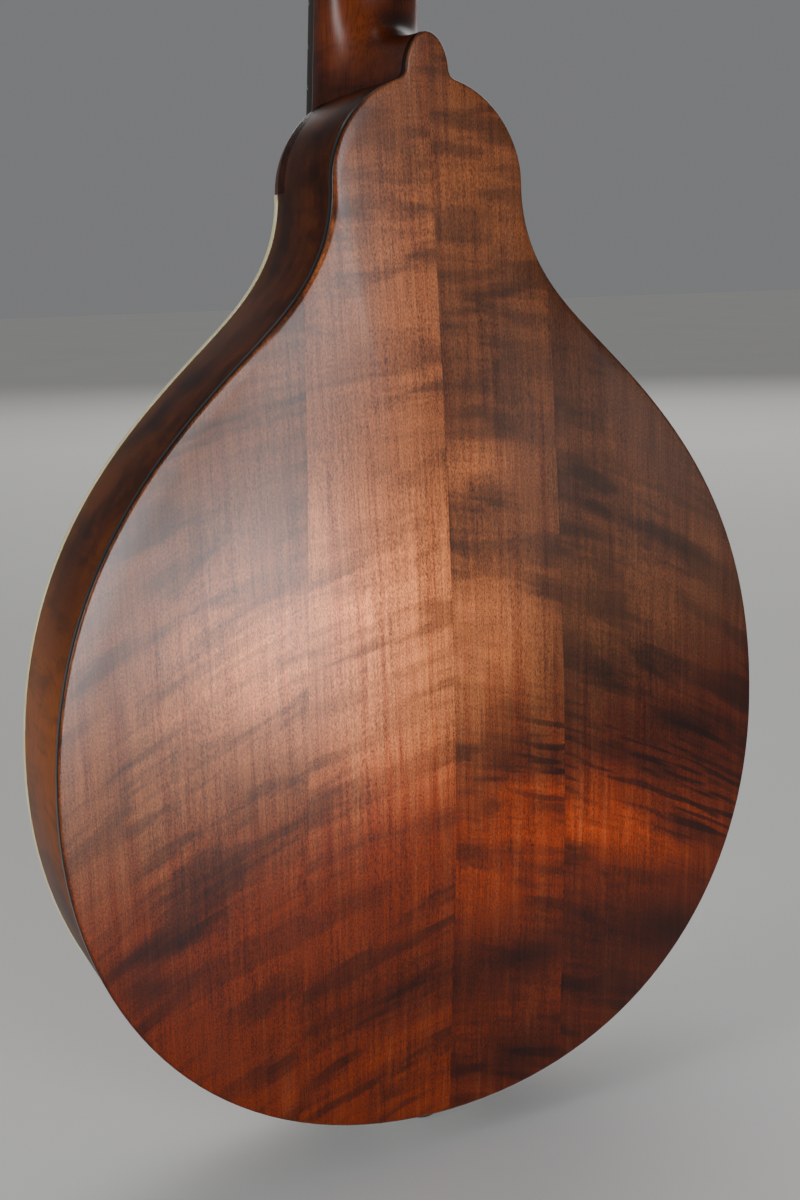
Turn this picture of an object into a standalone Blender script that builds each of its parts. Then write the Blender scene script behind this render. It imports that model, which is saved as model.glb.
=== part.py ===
"""A teardrop-bodied mandolin with an arched back of four boards, modelled piece by piece.

Row frame, in metres: the origin is the centre of the end pin's outer face, +Z runs along the body to the
neck, +Y points out of the soundboard, and +X is the bass side. The neck and the headstock are drawn in
tilted frames of their own, whose origins are at the nut.
"""

import math

import bmesh
import bpy
import numpy as np
from mathutils import Matrix, Vector

MM = 0.001
GAP = 0.3 * MM
SEAM = 0.05 * MM
CUT_MARGIN = 1 * MM
FAR = 200 * MM
SAME_HEIGHT = 1e-7
SHARP_ANGLE = math.radians(35)
SIDES = ((-1, "treble"), (1, "bass"))

# Body outline, seen from the back: a half of it is four Bezier curves from the tail to the crown.
TAIL_Z = 12 * MM
WIDEST = Vector((127, 140.6)) * MM
WAIST = Vector((55.1, 280)) * MM
WAIST_DIRECTION = math.radians(136.8)
CHEEK = Vector((32.4, 323.9)) * MM
CROWN_Z = 355.4 * MM
OUTLINE_HANDLES = [h * MM for h in (78.1, 71.9, 78.9, 37.1, 17.2, 19.9, 13.9, 20.6)]
OUTLINE_STEPS = (8, 7, 5, 5)
BUTTON_HALF_WIDTH = 7.6 * MM
BUTTON_BASE_Z = 354.4 * MM
BUTTON_TOP_Z = 367.6 * MM
BUTTON_ROUNDING = 0.8
BUTTON_ANGLES = [math.radians(a) for a in (10, 40, 70)]
BOARD_MARGIN = 10 * MM

# Depth of the body and thickness of its parts.
EDGE_Y = 23.7 * MM
BACK_THICKNESS = 3.2 * MM
TOP_THICKNESS = 2.4 * MM
RIB_THICKNESS = 2.2 * MM
BINDING_WIDTH = 2.2 * MM
ARCH_CENTRE = Vector((0, 150)) * MM
BACK_ARCH = 9.8 * MM
TOP_ARCH = 10 * MM
ARCH_FULLNESS = 1.4
RIDGE_HALF_WIDTH = 88 * MM
RIDGE_TO_NECK = 199 * MM
RIDGE_TO_TAIL = 138 * MM
CONTOUR_POWER = 6
ARCH_HALVINGS = 24
RINGS = (0.3, 0.55, 0.75, 0.9, 1.0)
RIB_LOW_Y = -EDGE_Y + BACK_THICKNESS + GAP
RIB_HIGH_Y = EDGE_Y - TOP_THICKNESS - GAP
SHOULDER_Z = 322.8 * MM
LINING = Vector((5, 6)) * MM
TAIL_BLOCK_HALF_WIDTH = 24 * MM
TAIL_BLOCK_TOP_Z = TAIL_Z + 22 * MM
NECK_BLOCK_Z = 306 * MM
BRACE_HALF = Vector((96, 3)) * MM
BRACE_DEPTH = 11 * MM
BRACE_END_SHARE = 0.35
BRACE_Z = 192 * MM
BRACE_STEPS = 12
SOUND_HOLE_Z = 226 * MM
SOUND_HOLE_HALF = Vector((27, 19)) * MM
SOUND_HOLE_SIDES = 28
TREBLE_SEAM = [Vector((-56.5, 12)) * MM, Vector((-40, 355)) * MM]
BASS_SEAM = [Vector((45.2, 12)) * MM, Vector((40, 355)) * MM]

# Neck, fingerboard and strings. Heights are above the neck's top plane, which the fingerboard lies on.
SCALE_LENGTH = 352.4 * MM
FRETS = 20
NECK_TILT = math.radians(5.6)
NECK_ORIGIN = Vector((0, 9.3, 498)) * MM
NUT_HALF_WIDTH = 14.6 * MM
TAPER = 0.0226
NECK_DEPTH = 13.5 * MM
NECK_DEPTH_GROWTH = 0.018
FINGERBOARD_THICKNESS = 5 * MM
NUT_THICKNESS = 4 * MM
NUT_STRING_HEIGHT = 6.2 * MM
SADDLE_STRING_HEIGHT = 9 * MM
U_POWER = 2.3
U_STEPS = 12
BOARD_LIFT = 0.1 * MM
BOARD_OVERHANG = 4 * MM
SLOT_DEPTH = 1.5 * MM
SLOT_HALF_WIDTH = 0.3 * MM
SLOT_REACH = 40 * MM
RISER_LOW_Z = 259 * MM
RISER_HALF_WIDTH = 14 * MM
RISER_STEPS = 6

# The neck's shaft ends at SHAFT_END in the neck's frame, and its heel and shoulders run on from there.
SHAFT_END = -106 * MM
SHAFT_STEPS = 8
HEEL_STEPS = 8
HEEL_CURVE = 20 * MM
HEEL_LENGTH = 40 * MM
HEEL_ROOT_Z = 346 * MM
HEEL_TURN = 0.4
HEEL_NARROWING = 1.4
SHOULDER_LOW_Y = 15 * MM
SHOULDER_DROP = 0.2 * MM
SHOULDER_REACH = 32 * MM
SHOULDER_ROUNDING = [(a * MM, b * MM) for a, b in ((0, 3.2), (0.5, 1.6), (1.6, 0.5), (3.2, 0))]

# Truss rod, in the neck's frame: the rod and the two corners of its channel as (y, z).
ROD_Y = -4.2 * MM
ROD_LOW_Z = -125 * MM
ROD_HIGH_Z = 17 * MM
ROD_RADIUS = 2.4 * MM
ROD_SIDES = 8
CHANNEL_HALF_WIDTH = 3.3 * MM
CHANNEL_LOW = (-8 * MM, -128 * MM)
CHANNEL_HIGH = (9 * MM, NUT_THICKNESS + 20 * MM)

# Headstock, drawn in its own frame: z from the nut to the tip, y out of its face.
HEAD_TILT = math.radians(13)
HEAD_THICKNESS = 14 * MM
VENEER_THICKNESS = 1.5 * MM
VENEER_LIFT = 0.1 * MM
HEAD_ROOT = Vector((15, 0)) * MM
HEAD_EAR = Vector((31, 27)) * MM
HEAD_SHOULDER = Vector((35.5, 118)) * MM
HEAD_CREST = Vector((0, 150)) * MM
HEAD_FLARE_HANDLES = [Vector(p) * MM for p in ((15.5, 13), (24, 21))]
HEAD_SIDE_HANDLES = [Vector(p) * MM for p in ((37, 33), (32, 90))]
HEAD_CREST_HANDLES = [Vector(p) * MM for p in ((38, 139), (17, 143))]
COVER_SIDE = ((8, 1.5), (8, 8), (4.5, 15), (3.2, 24))
COVER_TIP = (0, 27)
COVER_OTHER_SIDE = [(-x, z) for x, z in reversed(COVER_SIDE)]
ROD_COVER_OUTLINE = [Vector(p) * MM for p in (*COVER_SIDE, COVER_TIP, *COVER_OTHER_SIDE)]
COVER_LIFT = 0.2 * MM
COVER_THICKNESS = 1.6 * MM
POST_X = 17.5 * MM
POST_Z = [z * MM for z in (31, 54.5, 78, 101.5)]

# Tuning machines.
GEAR_TEETH = 14
GEAR_RADIUS = 5.2 * MM
GEAR_DEPTH = 1 * MM
GEAR_THICKNESS = 3.8 * MM
WORM_RADIUS = 1.9 * MM
SHAFT_RADIUS = 1.4 * MM
POST_RADIUS = 3 * MM
POST_HEIGHT = 13 * MM
POST_BORE_RADIUS = 3.4 * MM
PLATE_THICKNESS = 1 * MM
PLATE_HALF_WIDTH = 7 * MM
PLATE_BELOW, PLATE_ABOVE = 16 * MM, 9 * MM
PLATE_LOW_Y = -HEAD_THICKNESS - GAP - PLATE_THICKNESS
GEAR_Y = -HEAD_THICKNESS - PLATE_THICKNESS - 2 * GAP - GEAR_THICKNESS / 2
EAR_NEAR, EAR_FAR = 5.2 * MM, 6.6 * MM
EAR_DROP = 2.8 * MM
EAR_HALF_HEIGHT = 2.6 * MM
EAR_BORE_RADIUS = 1.75 * MM
WORM_HALF_LENGTH = 5 * MM
BUTTON_START = 20.5 * MM
BUTTON_FLATTENING = 0.5
KEY_PROFILE = [
    (-7.5 * MM, 0.9 * MM),
    (-7.5 * MM, SHAFT_RADIUS),
    (-WORM_HALF_LENGTH, SHAFT_RADIUS),
    (-WORM_HALF_LENGTH, WORM_RADIUS),
    (WORM_HALF_LENGTH, WORM_RADIUS),
    (WORM_HALF_LENGTH, SHAFT_RADIUS),
    (17.5 * MM, SHAFT_RADIUS),
    (BUTTON_START, 2.4 * MM),
    (23 * MM, 6 * MM),
    (29.5 * MM, 7.4 * MM),
    (32.5 * MM, 6.2 * MM),
    (33.5 * MM, 3.5 * MM),
]

# Bridge and tailpiece.
BRIDGE_HALF = Vector((56, 6)) * MM
BRIDGE_HEIGHT = 7 * MM
BRIDGE_END_DROP = 4.5 * MM
BRIDGE_STEPS = 14
SADDLE_HALF = Vector((37, 2.6)) * MM
SADDLE_PEAK = 0.6 * MM
SADDLE_END_RISE = 2.25 * MM
SADDLE_END_DROP = 0.15 * MM
STUD_X = 28 * MM
STUD_RADIUS = 1.4 * MM
STUD_BORE_RADIUS = 1.6 * MM
WHEEL_RADIUS = 4.6 * MM
WHEEL_THICKNESS = 2 * MM
WHEEL_LIFT = 8.7 * MM
HOOK_Z = 30 * MM
HOOK_SPACING = 4.3 * MM
HOOK_RISE = 2.4 * MM
HOOK_WIDTH = 1.6 * MM
STRING_ABOVE_PLATE = 3.2 * MM
HEEL_Z = TAIL_Z - 2.4 * MM
TAILPIECE_HALF_WIDTH = 19 * MM
TAILPIECE_THICKNESS = 1.2 * MM
TAILPIECE_BEND = 1 * MM
TAILPIECE_RISE = 3 * MM
TAILPIECE_LOW_Y = -16 * MM
PIN_HOLE_RADIUS = 3.5 * MM

# The tailpiece's cover: how far each section is drawn in, and its share of the height.
COVER_PROFILE = [(drawn_in * MM, lift / 11) for drawn_in, lift in ((0, 0), (0, 5), (2, 9), (7, 11))]
COVER_HEIGHT = 11 * MM
COVER_OVERHANG = 2.6 * MM
COVER_POWER = 5
COVER_STEPS = 7
COVER_END_SHARE = 0.6
COVER_WALL = 1 * MM
GATE_HEIGHT = 8.7 * MM

# The end pin, from its outer face inwards: (distance, radius) pairs, closed on its axis.
END_PIN_SIDES = 16
END_PIN_PROFILE = [
    (0, 0),
    (0, 5.5 * MM),
    (1 * MM, 6.5 * MM),
    (3.2 * MM, 6.5 * MM),
    (5.2 * MM, 4.2 * MM),
    (7.6 * MM, 4 * MM),
    (HEEL_Z - GAP, 5.6 * MM),
    (HEEL_Z - GAP, 3.1 * MM),
    (30 * MM, 3 * MM),
    (30 * MM, 0),
]

# Strings, treble to bass: diameters, and where each crosses the nut and the saddle.
STRING_DIAMETERS = [d * MM for d in (0.25, 0.25, 0.36, 0.36, 0.61, 0.61, 0.97, 0.97)]
NUT_COURSE, NUT_PAIR = 7 * MM, 1.2 * MM
SADDLE_COURSE, SADDLE_PAIR = 12.2 * MM, 1.6 * MM

WOOD_BACK = (0.28, 0.075, 0.022)
WOOD_RIB = (0.16, 0.035, 0.012)
WOOD_TOP = (0.42, 0.17, 0.05)
WOOD_BARE = (0.62, 0.45, 0.27)
EBONY = (0.018, 0.015, 0.014)
CREAM = (0.72, 0.66, 0.46)
NICKEL = (0.75, 0.74, 0.71)
PEARLOID = (0.78, 0.74, 0.62)
BONE = (0.82, 0.77, 0.64)


def clear_scene():
    for obj in list(bpy.data.objects):
        bpy.data.objects.remove(obj)


def collection(name, hidden=False):
    made = bpy.data.collections.new(name)
    made.hide_render = hidden
    bpy.context.scene.collection.children.link(made)
    return made


def material(name, color, roughness=0.5, metallic=0.0):
    made = bpy.data.materials.get(name) or bpy.data.materials.new(name)
    made.use_nodes = True
    shader = made.node_tree.nodes["Principled BSDF"]
    shader.inputs["Base Color"].default_value = (*color, 1)
    shader.inputs["Roughness"].default_value = roughness
    shader.inputs["Metallic"].default_value = metallic
    return made


def mesh_object(name, mesh, where, surface=None, parent=None):
    obj = bpy.data.objects.new(name, mesh)
    where.objects.link(obj)
    obj.parent = parent
    if surface:
        mesh.materials.append(surface)
        mesh.shade_smooth()
        mesh.set_sharp_from_angle(angle=SHARP_ANGLE)
    else:
        obj.display_type = "WIRE"
    return obj


def mesh_from(build):
    """The mesh that a function makes with the bmesh it is given, with its faces turned outwards."""
    bm = bmesh.new()
    build(bm)
    bmesh.ops.recalc_face_normals(bm, faces=bm.faces)
    mesh = bpy.data.meshes.new("mesh")
    bm.to_mesh(mesh)
    bm.free()
    return mesh


def boolean(obj, other, operation="DIFFERENCE"):
    modifier = obj.modifiers.new(f"{operation.lower()} {other.name}", "BOOLEAN")
    modifier.operation = operation
    modifier.object = other


def loft(bm, rings):
    """Quads between rings of as many points each, closed at both ends."""
    rows = [[bm.verts.new(p) for p in ring] for ring in rings]
    for low, high in zip(rows, rows[1:]):
        for i in range(len(low)):
            j = (i + 1) % len(low)
            bm.faces.new((low[i], low[j], high[j], high[i]))
    bm.faces.new(rows[0])
    bm.faces.new(rows[-1])


def loft_mesh(rings):
    return mesh_from(lambda bm: loft(bm, rings))


def prism_mesh(outline, low, high, bevel=0.0):
    """A flat outline in x and z, made thick from y = low to y = high."""
    ends = [[Vector((p[0], y, p[1])) for p in outline] for y in (low, high)]

    def build(bm):
        loft(bm, ends)
        if bevel:
            rim = [e for e in bm.edges if abs(e.verts[0].co.y - e.verts[1].co.y) < SAME_HEIGHT]
            bmesh.ops.bevel(bm, geom=rim, offset=bevel, segments=1, affect="EDGES")

    return mesh_from(build)


def box_mesh(low, high, bevel=0.0):
    size = Vector(high) - Vector(low)
    centre = (Vector(high) + Vector(low)) / 2

    def build(bm):
        bmesh.ops.create_cube(bm, size=1)
        bmesh.ops.scale(bm, vec=size, verts=bm.verts)
        bmesh.ops.translate(bm, vec=centre, verts=bm.verts)
        if bevel:
            bmesh.ops.bevel(bm, geom=bm.edges[:], offset=bevel, segments=1, affect="EDGES")

    return mesh_from(build)


def rod_mesh(start, end, radius, sides=12):
    """A cylinder from one point to another."""
    start, end = Vector(start), Vector(end)
    turn = (end - start).to_track_quat("Z", "Y").to_matrix().to_4x4()

    def build(bm):
        bmesh.ops.create_cone(
            bm, cap_ends=True, segments=sides, radius1=radius, radius2=radius, depth=(end - start).length
        )
        bmesh.ops.transform(bm, matrix=Matrix.Translation((start + end) / 2) @ turn, verts=bm.verts)

    return mesh_from(build)


def turned_mesh(profile, start, direction, sides=12):
    """A turned shape: (distance along the axis, radius) pairs, spun about a line from start."""
    turn = Vector(direction).to_track_quat("Z", "Y").to_matrix()
    angles = [2 * math.pi * i / sides for i in range(sides)]
    rings = [
        [Vector(start) + turn @ Vector((r * math.cos(a), r * math.sin(a), along)) for a in angles]
        for along, r in profile
    ]
    return loft_mesh(rings)


def turned_object(name, profile, sides, where, surface):
    """A turned shape about the z axis: (height, radius) pairs that start and end on the axis."""
    points = [(radius, 0, height) for height, radius in profile]
    mesh = bpy.data.meshes.new(name)
    mesh.from_pydata(points, [(i, i + 1) for i in range(len(points) - 1)], [])
    turn = mesh_object(name, mesh, where, surface).modifiers.new("turn", "SCREW")
    turn.steps = sides
    turn.render_steps = sides
    turn.use_merge_vertices = True
    turn.merge_threshold = SEAM / 5
    turn.use_normal_calculate = True


def bezier(ends, handles, steps):
    """Points on a cubic Bezier curve, without its last one."""
    p0, p1, p2, p3 = ends[0], handles[0], handles[1], ends[1]
    found = []
    for i in range(steps):
        t = i / steps
        s = 1 - t
        found.append(p0 * s**3 + p1 * 3 * s * s * t + p2 * 3 * s * t * t + p3 * t**3)
    return found


def half_outline():
    """The bass half of the body's outline, from the tail to the crown."""
    right, up = Vector((1, 0)), Vector((0, 1))
    along = Vector((math.cos(WAIST_DIRECTION), math.sin(WAIST_DIRECTION)))
    tail, crown = Vector((0, TAIL_Z)), Vector((0, CROWN_Z))
    h = OUTLINE_HANDLES
    points = bezier((tail, WIDEST), (tail + right * h[0], WIDEST - up * h[1]), OUTLINE_STEPS[0])
    points += bezier((WIDEST, WAIST), (WIDEST + up * h[2], WAIST - along * h[3]), OUTLINE_STEPS[1])
    points += bezier((WAIST, CHEEK), (WAIST + along * h[4], CHEEK - up * h[5]), OUTLINE_STEPS[2])
    points += bezier((CHEEK, crown), (CHEEK + up * h[6], crown + right * h[7]), OUTLINE_STEPS[3])
    return points + [crown]


def inset(points, distance):
    """A half outline drawn inwards. Its ends stay on the centre line."""
    moved = []
    for i, p in enumerate(points):
        tangent = points[min(i + 1, len(points) - 1)] - points[max(i - 1, 0)]
        if i in (0, len(points) - 1):
            tangent = Vector((1 if i == 0 else -1, 0))
        tangent.normalize()
        moved.append(p - Vector((tangent.y, -tangent.x)) * distance)
    return moved


def mirrored(points):
    return [Vector((-p.x, p.y)) for p in points]


def whole(points):
    """A half outline with its mirror image, as one ring."""
    return points + mirrored(points)[-2:0:-1]


HALF = half_outline()
OUTLINE_ANGLES = [math.atan2(p.y - ARCH_CENTRE.y, p.x - ARCH_CENTRE.x) for p in HALF]
OUTLINE_REACH = [(p - ARCH_CENTRE).length for p in HALF]


def contour_reach(angle, share, outline_reach):
    """How far from the arch's centre its contour lies: an ellipse at the centre, the outline at share 1."""
    c, s = math.cos(angle), math.sin(angle)
    ridge = 1 / math.hypot(c / RIDGE_HALF_WIDTH, s / (RIDGE_TO_NECK if s > 0 else RIDGE_TO_TAIL))
    weight = share**CONTOUR_POWER
    return share * ((1 - weight) * ridge + weight * outline_reach)


def arch(x, z):
    """The arch's share of its full height at a point: 0 on the outline and 1 at the centre."""
    p = Vector((abs(x), z)) - ARCH_CENTRE
    angle = math.atan2(p.y, p.x)
    edge = np.interp(angle, OUTLINE_ANGLES, OUTLINE_REACH)
    low, high = 0.0, 1.0
    for _ in range(ARCH_HALVINGS):
        middle = (low + high) / 2
        if contour_reach(angle, middle, edge) < p.length:
            low = middle
        else:
            high = middle
    return (1 - low * low) ** ARCH_FULLNESS


def back_y(x, z):
    return -EDGE_Y - BACK_ARCH * arch(x, z)


def top_y(x, z):
    return EDGE_Y + TOP_ARCH * arch(x, z)


def neck_plane_y(z):
    """The height of the neck's top plane above the body's middle plane."""
    return NECK_ORIGIN.y + (NECK_ORIGIN.z - z) * math.tan(NECK_TILT)


def button_points():
    """The heel cap's half outline, from its base to its tip."""
    radius = BUTTON_HALF_WIDTH * BUTTON_ROUNDING
    centre_z = BUTTON_TOP_Z - radius
    arc = [Vector((radius * math.cos(a), centre_z + radius * math.sin(a))) for a in BUTTON_ANGLES]
    return [Vector((BUTTON_HALF_WIDTH, BUTTON_BASE_Z)), *arc, Vector((0, BUTTON_TOP_Z))]


def arched_mesh(half, surface_y, side, outward):
    """An arched surface over one half of an outline, side -1 or 1 in x, that faces outward, -1 or 1 in y.

    Its rings are the outline drawn in towards the arch's centre. It runs past the centre line by CUT_MARGIN,
    so that a cutter can trim it there.
    """
    spokes = [p - ARCH_CENTRE for p in half]

    def point(spoke, share):
        reach = contour_reach(math.atan2(spoke.y, spoke.x), share, spoke.length)
        p = ARCH_CENTRE + spoke.normalized() * reach
        x = p.x if p.x > SEAM else -CUT_MARGIN
        return Vector((x * side, surface_y(p.x, p.y), p.y))

    def build(bm):
        hub = bm.verts.new((-CUT_MARGIN * side, surface_y(*ARCH_CENTRE), ARCH_CENTRE.y))
        rows = [[bm.verts.new(point(spoke, share)) for spoke in spokes] for share in RINGS]
        for i in range(len(half) - 1):
            bm.faces.new((hub, rows[0][i], rows[0][i + 1]))
            for low, high in zip(rows, rows[1:]):
                bm.faces.new((low[i], high[i], high[i + 1], low[i + 1]))

    mesh = mesh_from(build)
    if mesh.polygons[0].normal.y * outward < 0:
        mesh.flip_normals()
    return mesh


def plate(name, mesh, thickness, where, surface, cutters):
    """An arched surface thickened inwards, then cut by each (cutter, operation) pair."""
    obj = mesh_object(name, mesh, where, surface)
    solidify = obj.modifiers.new("thickness", "SOLIDIFY")
    solidify.thickness = thickness
    solidify.offset = -1
    for cutter, operation in cutters:
        boolean(obj, cutter, operation)
    return obj


def band_mesh(outer, inner, low, high):
    """A strip between an outer and an inner path in x and z, standing from y = low to y = high."""
    rings = [
        [Vector((p.x, y, p.y)) for p, y in ((out, low), (out, high), (into, high), (into, low))]
        for out, into in zip(outer, inner)
    ]
    return loft_mesh(rings)


def nudged(points, side):
    """A half outline whose ends stop just short of the centre line, on the bass or the treble side."""
    return [Vector((max(p.x, SEAM) * side, p.y)) for p in points]


def between(points, low, high):
    """The stretch of a half outline between two heights, with its ends exactly there."""
    found = []
    for a, b in zip(points, points[1:]):
        for level in (low, high):
            if (a.y - level) * (b.y - level) < 0:
                found.append(a.lerp(b, (level - a.y) / (b.y - a.y)))
        if low <= b.y <= high:
            found.append(b)
    if low <= points[0].y <= high:
        found.insert(0, points[0])
    return sorted(found, key=lambda p: p.y)


def seam_point(seam, z):
    """The point at height z on the line through a seam's two points."""
    a, b = seam
    return a.lerp(b, (z - a.y) / (b.y - a.y))


def make_back(parts, tools, surface):
    """Four boards, cut from the arched surface along the three seams."""
    low, high = TAIL_Z - BOARD_MARGIN, BUTTON_TOP_Z + BOARD_MARGIN
    half = HALF[:-1] + button_points()
    middle = [Vector((0, low)), Vector((0, high))]
    far_treble, far_bass = ([Vector((x, low)), Vector((x, high))] for x in (-FAR, FAR))
    boards = (
        ("back_wing_treble", -1, far_treble, TREBLE_SEAM),
        ("back_centre_treble", -1, TREBLE_SEAM, middle),
        ("back_centre_bass", 1, middle, BASS_SEAM),
        ("back_wing_bass", 1, BASS_SEAM, far_bass),
    )
    step = Vector((SEAM, 0))
    for name, side, left, right in boards:
        corners = [seam_point(left, z) + step for z in (low, high)]
        corners += [seam_point(right, z) - step for z in (high, low)]
        cutter = mesh_object(f"cut {name}", prism_mesh(corners, -FAR, 0), tools)
        surface_mesh = arched_mesh(half, back_y, side, -1)
        plate(name, surface_mesh, BACK_THICKNESS, parts, surface, [(cutter, "INTERSECT")])


def make_top(parts, tools, surface):
    """Two boards joined on the centre line, with the oval sound hole across them."""
    angles = [2 * math.pi * (i + 0.5) / SOUND_HOLE_SIDES for i in range(SOUND_HOLE_SIDES)]
    half_x, half_z = SOUND_HOLE_HALF
    oval = [Vector((half_x * math.cos(a), SOUND_HOLE_Z + half_z * math.sin(a))) for a in angles]
    hole = mesh_object("cut sound hole", prism_mesh(oval, 0, FAR), tools)
    half = inset(HALF, BINDING_WIDTH + GAP)
    for name, side in (("top_treble", -1), ("top_bass", 1)):
        corners = ((SEAM, 0), (FAR, 0), (FAR, SHOULDER_Z), (SEAM, SHOULDER_Z))
        corners = [Vector((x * side, z)) for x, z in corners]
        cutter = mesh_object(f"cut {name}", prism_mesh(corners, 0, FAR), tools)
        cuts = [(cutter, "INTERSECT"), (hole, "DIFFERENCE")]
        plate(name, arched_mesh(half, top_y, side, 1), TOP_THICKNESS, parts, surface, cuts)


def make_ribs(parts, pin_hole, surface):
    inner = inset(HALF, RIB_THICKNESS)
    for side, word in SIDES:
        mesh = band_mesh(nudged(HALF, side), nudged(inner, side), RIB_LOW_Y, RIB_HIGH_Y)
        rib = mesh_object(f"rib_{word}", mesh, parts, surface)
        boolean(rib, pin_hole)


def make_linings(parts, surface):
    """Four strips inside the ribs' edges, from one block to the other."""
    outer = inset(HALF, RIB_THICKNESS + GAP)
    inner = inset(HALF, RIB_THICKNESS + GAP + LINING.x)
    clear_x, clear_z = TAIL_BLOCK_HALF_WIDTH + 1 * MM, NECK_BLOCK_Z - 2 * MM
    free = [i for i, p in enumerate(inner) if p.x > clear_x and p.y < clear_z]
    for side, word in SIDES:
        paths = [nudged([path[i] for i in free], side) for path in (outer, inner)]
        for name, low in (("back", RIB_LOW_Y), ("top", RIB_HIGH_Y - LINING.y)):
            mesh = band_mesh(*paths, low, low + LINING.y)
            mesh_object(f"lining_{name}_{word}", mesh, parts, surface)


def make_binding(parts, surface):
    """The strip let into the soundboard's edge, all round it below the shoulders."""
    edges = [between(path, 0, SHOULDER_Z - GAP) for path in (HALF, inset(HALF, BINDING_WIDTH))]
    outer, inner = (mirrored(edge)[:0:-1] + edge for edge in edges)
    mesh_object("top_binding", band_mesh(outer, inner, RIB_HIGH_Y + GAP, EDGE_Y), parts, surface)


def make_blocks(parts, pin_hole, surface):
    """The blocks inside the body's two ends, shaped to the ribs."""
    path = inset(HALF, RIB_THICKNESS + GAP)
    outline = between(path, NECK_BLOCK_Z, FAR * 2)
    outline = outline + mirrored(outline)[-2::-1]
    mesh_object("neck_block", prism_mesh(outline, RIB_LOW_Y, RIB_HIGH_Y), parts, surface)
    low_curve = [p for p in path if p.y < WIDEST.y]
    xs, zs = [p.x for p in low_curve], [p.y for p in low_curve]
    across = [TAIL_BLOCK_HALF_WIDTH * share for share in (-1, -0.5, 0, 0.5, 1)]
    outline = [Vector((x, np.interp(abs(x), xs, zs))) for x in across]
    outline += [Vector((x, TAIL_BLOCK_TOP_Z)) for x in (TAIL_BLOCK_HALF_WIDTH, -TAIL_BLOCK_HALF_WIDTH)]
    block = mesh_object("tail_block", prism_mesh(outline, RIB_LOW_Y, RIB_HIGH_Y), parts, surface)
    boolean(block, pin_hole)


def make_rim(parts, tools, surfaces):
    """Ribs, binding, linings and the blocks inside."""
    pin_hole = rod_mesh((0, 0, -5 * MM), (0, 0, 40 * MM), PIN_HOLE_RADIUS)
    pin_hole = mesh_object("cut end pin hole", pin_hole, tools)
    make_ribs(parts, pin_hole, surfaces["rib"])
    make_linings(parts, surfaces["bare"])
    make_binding(parts, surfaces["binding"])
    make_blocks(parts, pin_hole, surfaces["bare"])


def make_brace(parts, surface):
    """The bar that crosses the soundboard below the sound hole, deepest in the middle."""
    half_length, half_width = BRACE_HALF
    rings = []
    for i in range(BRACE_STEPS + 1):
        x = half_length * (2 * i / BRACE_STEPS - 1)
        taper = BRACE_END_SHARE + (1 - BRACE_END_SHARE) * math.cos(x / half_length * math.pi / 2)
        high = top_y(x, BRACE_Z) - TOP_THICKNESS - 2 * GAP
        low = high - BRACE_DEPTH * taper
        corners = ((low, -half_width), (high, -half_width), (high, half_width), (low, half_width))
        rings.append([Vector((x, y, BRACE_Z + across)) for y, across in corners])
    mesh_object("soundhole_brace", loft_mesh(rings), parts, surface)


def frame_empty(name, origin, tilt, parts, parent=None):
    empty = bpy.data.objects.new(name, None)
    parts.objects.link(empty)
    empty.parent = parent
    empty.location = origin
    empty.rotation_euler.x = tilt
    return empty


def neck_to_row():
    return Matrix.Translation(NECK_ORIGIN) @ Matrix.Rotation(NECK_TILT, 4, "X")


def head_to_row():
    return neck_to_row() @ Matrix.Translation((0, 0, NUT_THICKNESS)) @ Matrix.Rotation(HEAD_TILT, 4, "X")


def neck_half_width(z):
    """Half the neck's width, z metres from the nut in the neck's frame, where the body is at negative z."""
    return NUT_HALF_WIDTH - TAPER * z


def neck_depth(z):
    return NECK_DEPTH - NECK_DEPTH_GROWTH * z


def u_ring(top, bottom, half_width):
    """A U-shaped section: flat from side to side at top, round down to bottom."""
    ring = []
    for i in range(U_STEPS + 1):
        a = math.pi * i / U_STEPS
        across = math.copysign(abs(math.cos(a)) ** (2 / U_POWER), math.cos(a))
        down = math.sin(a) ** (2 / U_POWER)
        ring.append(top.lerp(bottom, down) + Vector((half_width * across, 0, 0)))
    return ring


def shaft_rings():
    """Sections of the neck's shaft, perpendicular to it, from the nut to the heel."""
    row = neck_to_row()
    rings = []
    for i in range(SHAFT_STEPS):
        z = NUT_THICKNESS + (SHAFT_END - NUT_THICKNESS) * i / (SHAFT_STEPS - 1)
        top, bottom = row @ Vector((0, 0, z)), row @ Vector((0, -neck_depth(z), z))
        rings.append(u_ring(top, bottom, neck_half_width(z)))
    return rings


def heel_rings():
    """Sections that fan round from the shaft's end to the heel's foot on the button."""
    row = neck_to_row()
    start = row @ Vector((0, -neck_depth(SHAFT_END), SHAFT_END))
    end = Vector((0, RIB_LOW_Y, BUTTON_TOP_Z))
    tangent = row.to_3x3() @ Vector((0, 0, -HEEL_CURVE))
    handles = (start + tangent, end + Vector((0, HEEL_CURVE, 0)))
    curve = bezier((start, end), handles, HEEL_STEPS) + [end]
    shelf = row @ Vector((0, 0, SHAFT_END))
    corner = Vector((0, neck_plane_y(HEEL_ROOT_Z), HEEL_ROOT_Z))
    foot = Vector((0, RIB_LOW_Y, HEEL_ROOT_Z))
    rings = []
    for i, low in enumerate(curve[1:], 1):
        t = i / HEEL_STEPS
        if t < HEEL_TURN:
            top = shelf.lerp(corner, t / HEEL_TURN)
        else:
            top = corner.lerp(foot, (t - HEEL_TURN) / (1 - HEEL_TURN))
        wide = neck_half_width(SHAFT_END - HEEL_LENGTH * min(t / HEEL_TURN, 1))
        fall = max(t - HEEL_TURN, 0) / (1 - HEEL_TURN)
        narrow = (wide - BUTTON_HALF_WIDTH) * (1 - fall) ** HEEL_NARROWING
        rings.append(u_ring(top, low, BUTTON_HALF_WIDTH + narrow))
    return rings


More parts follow.
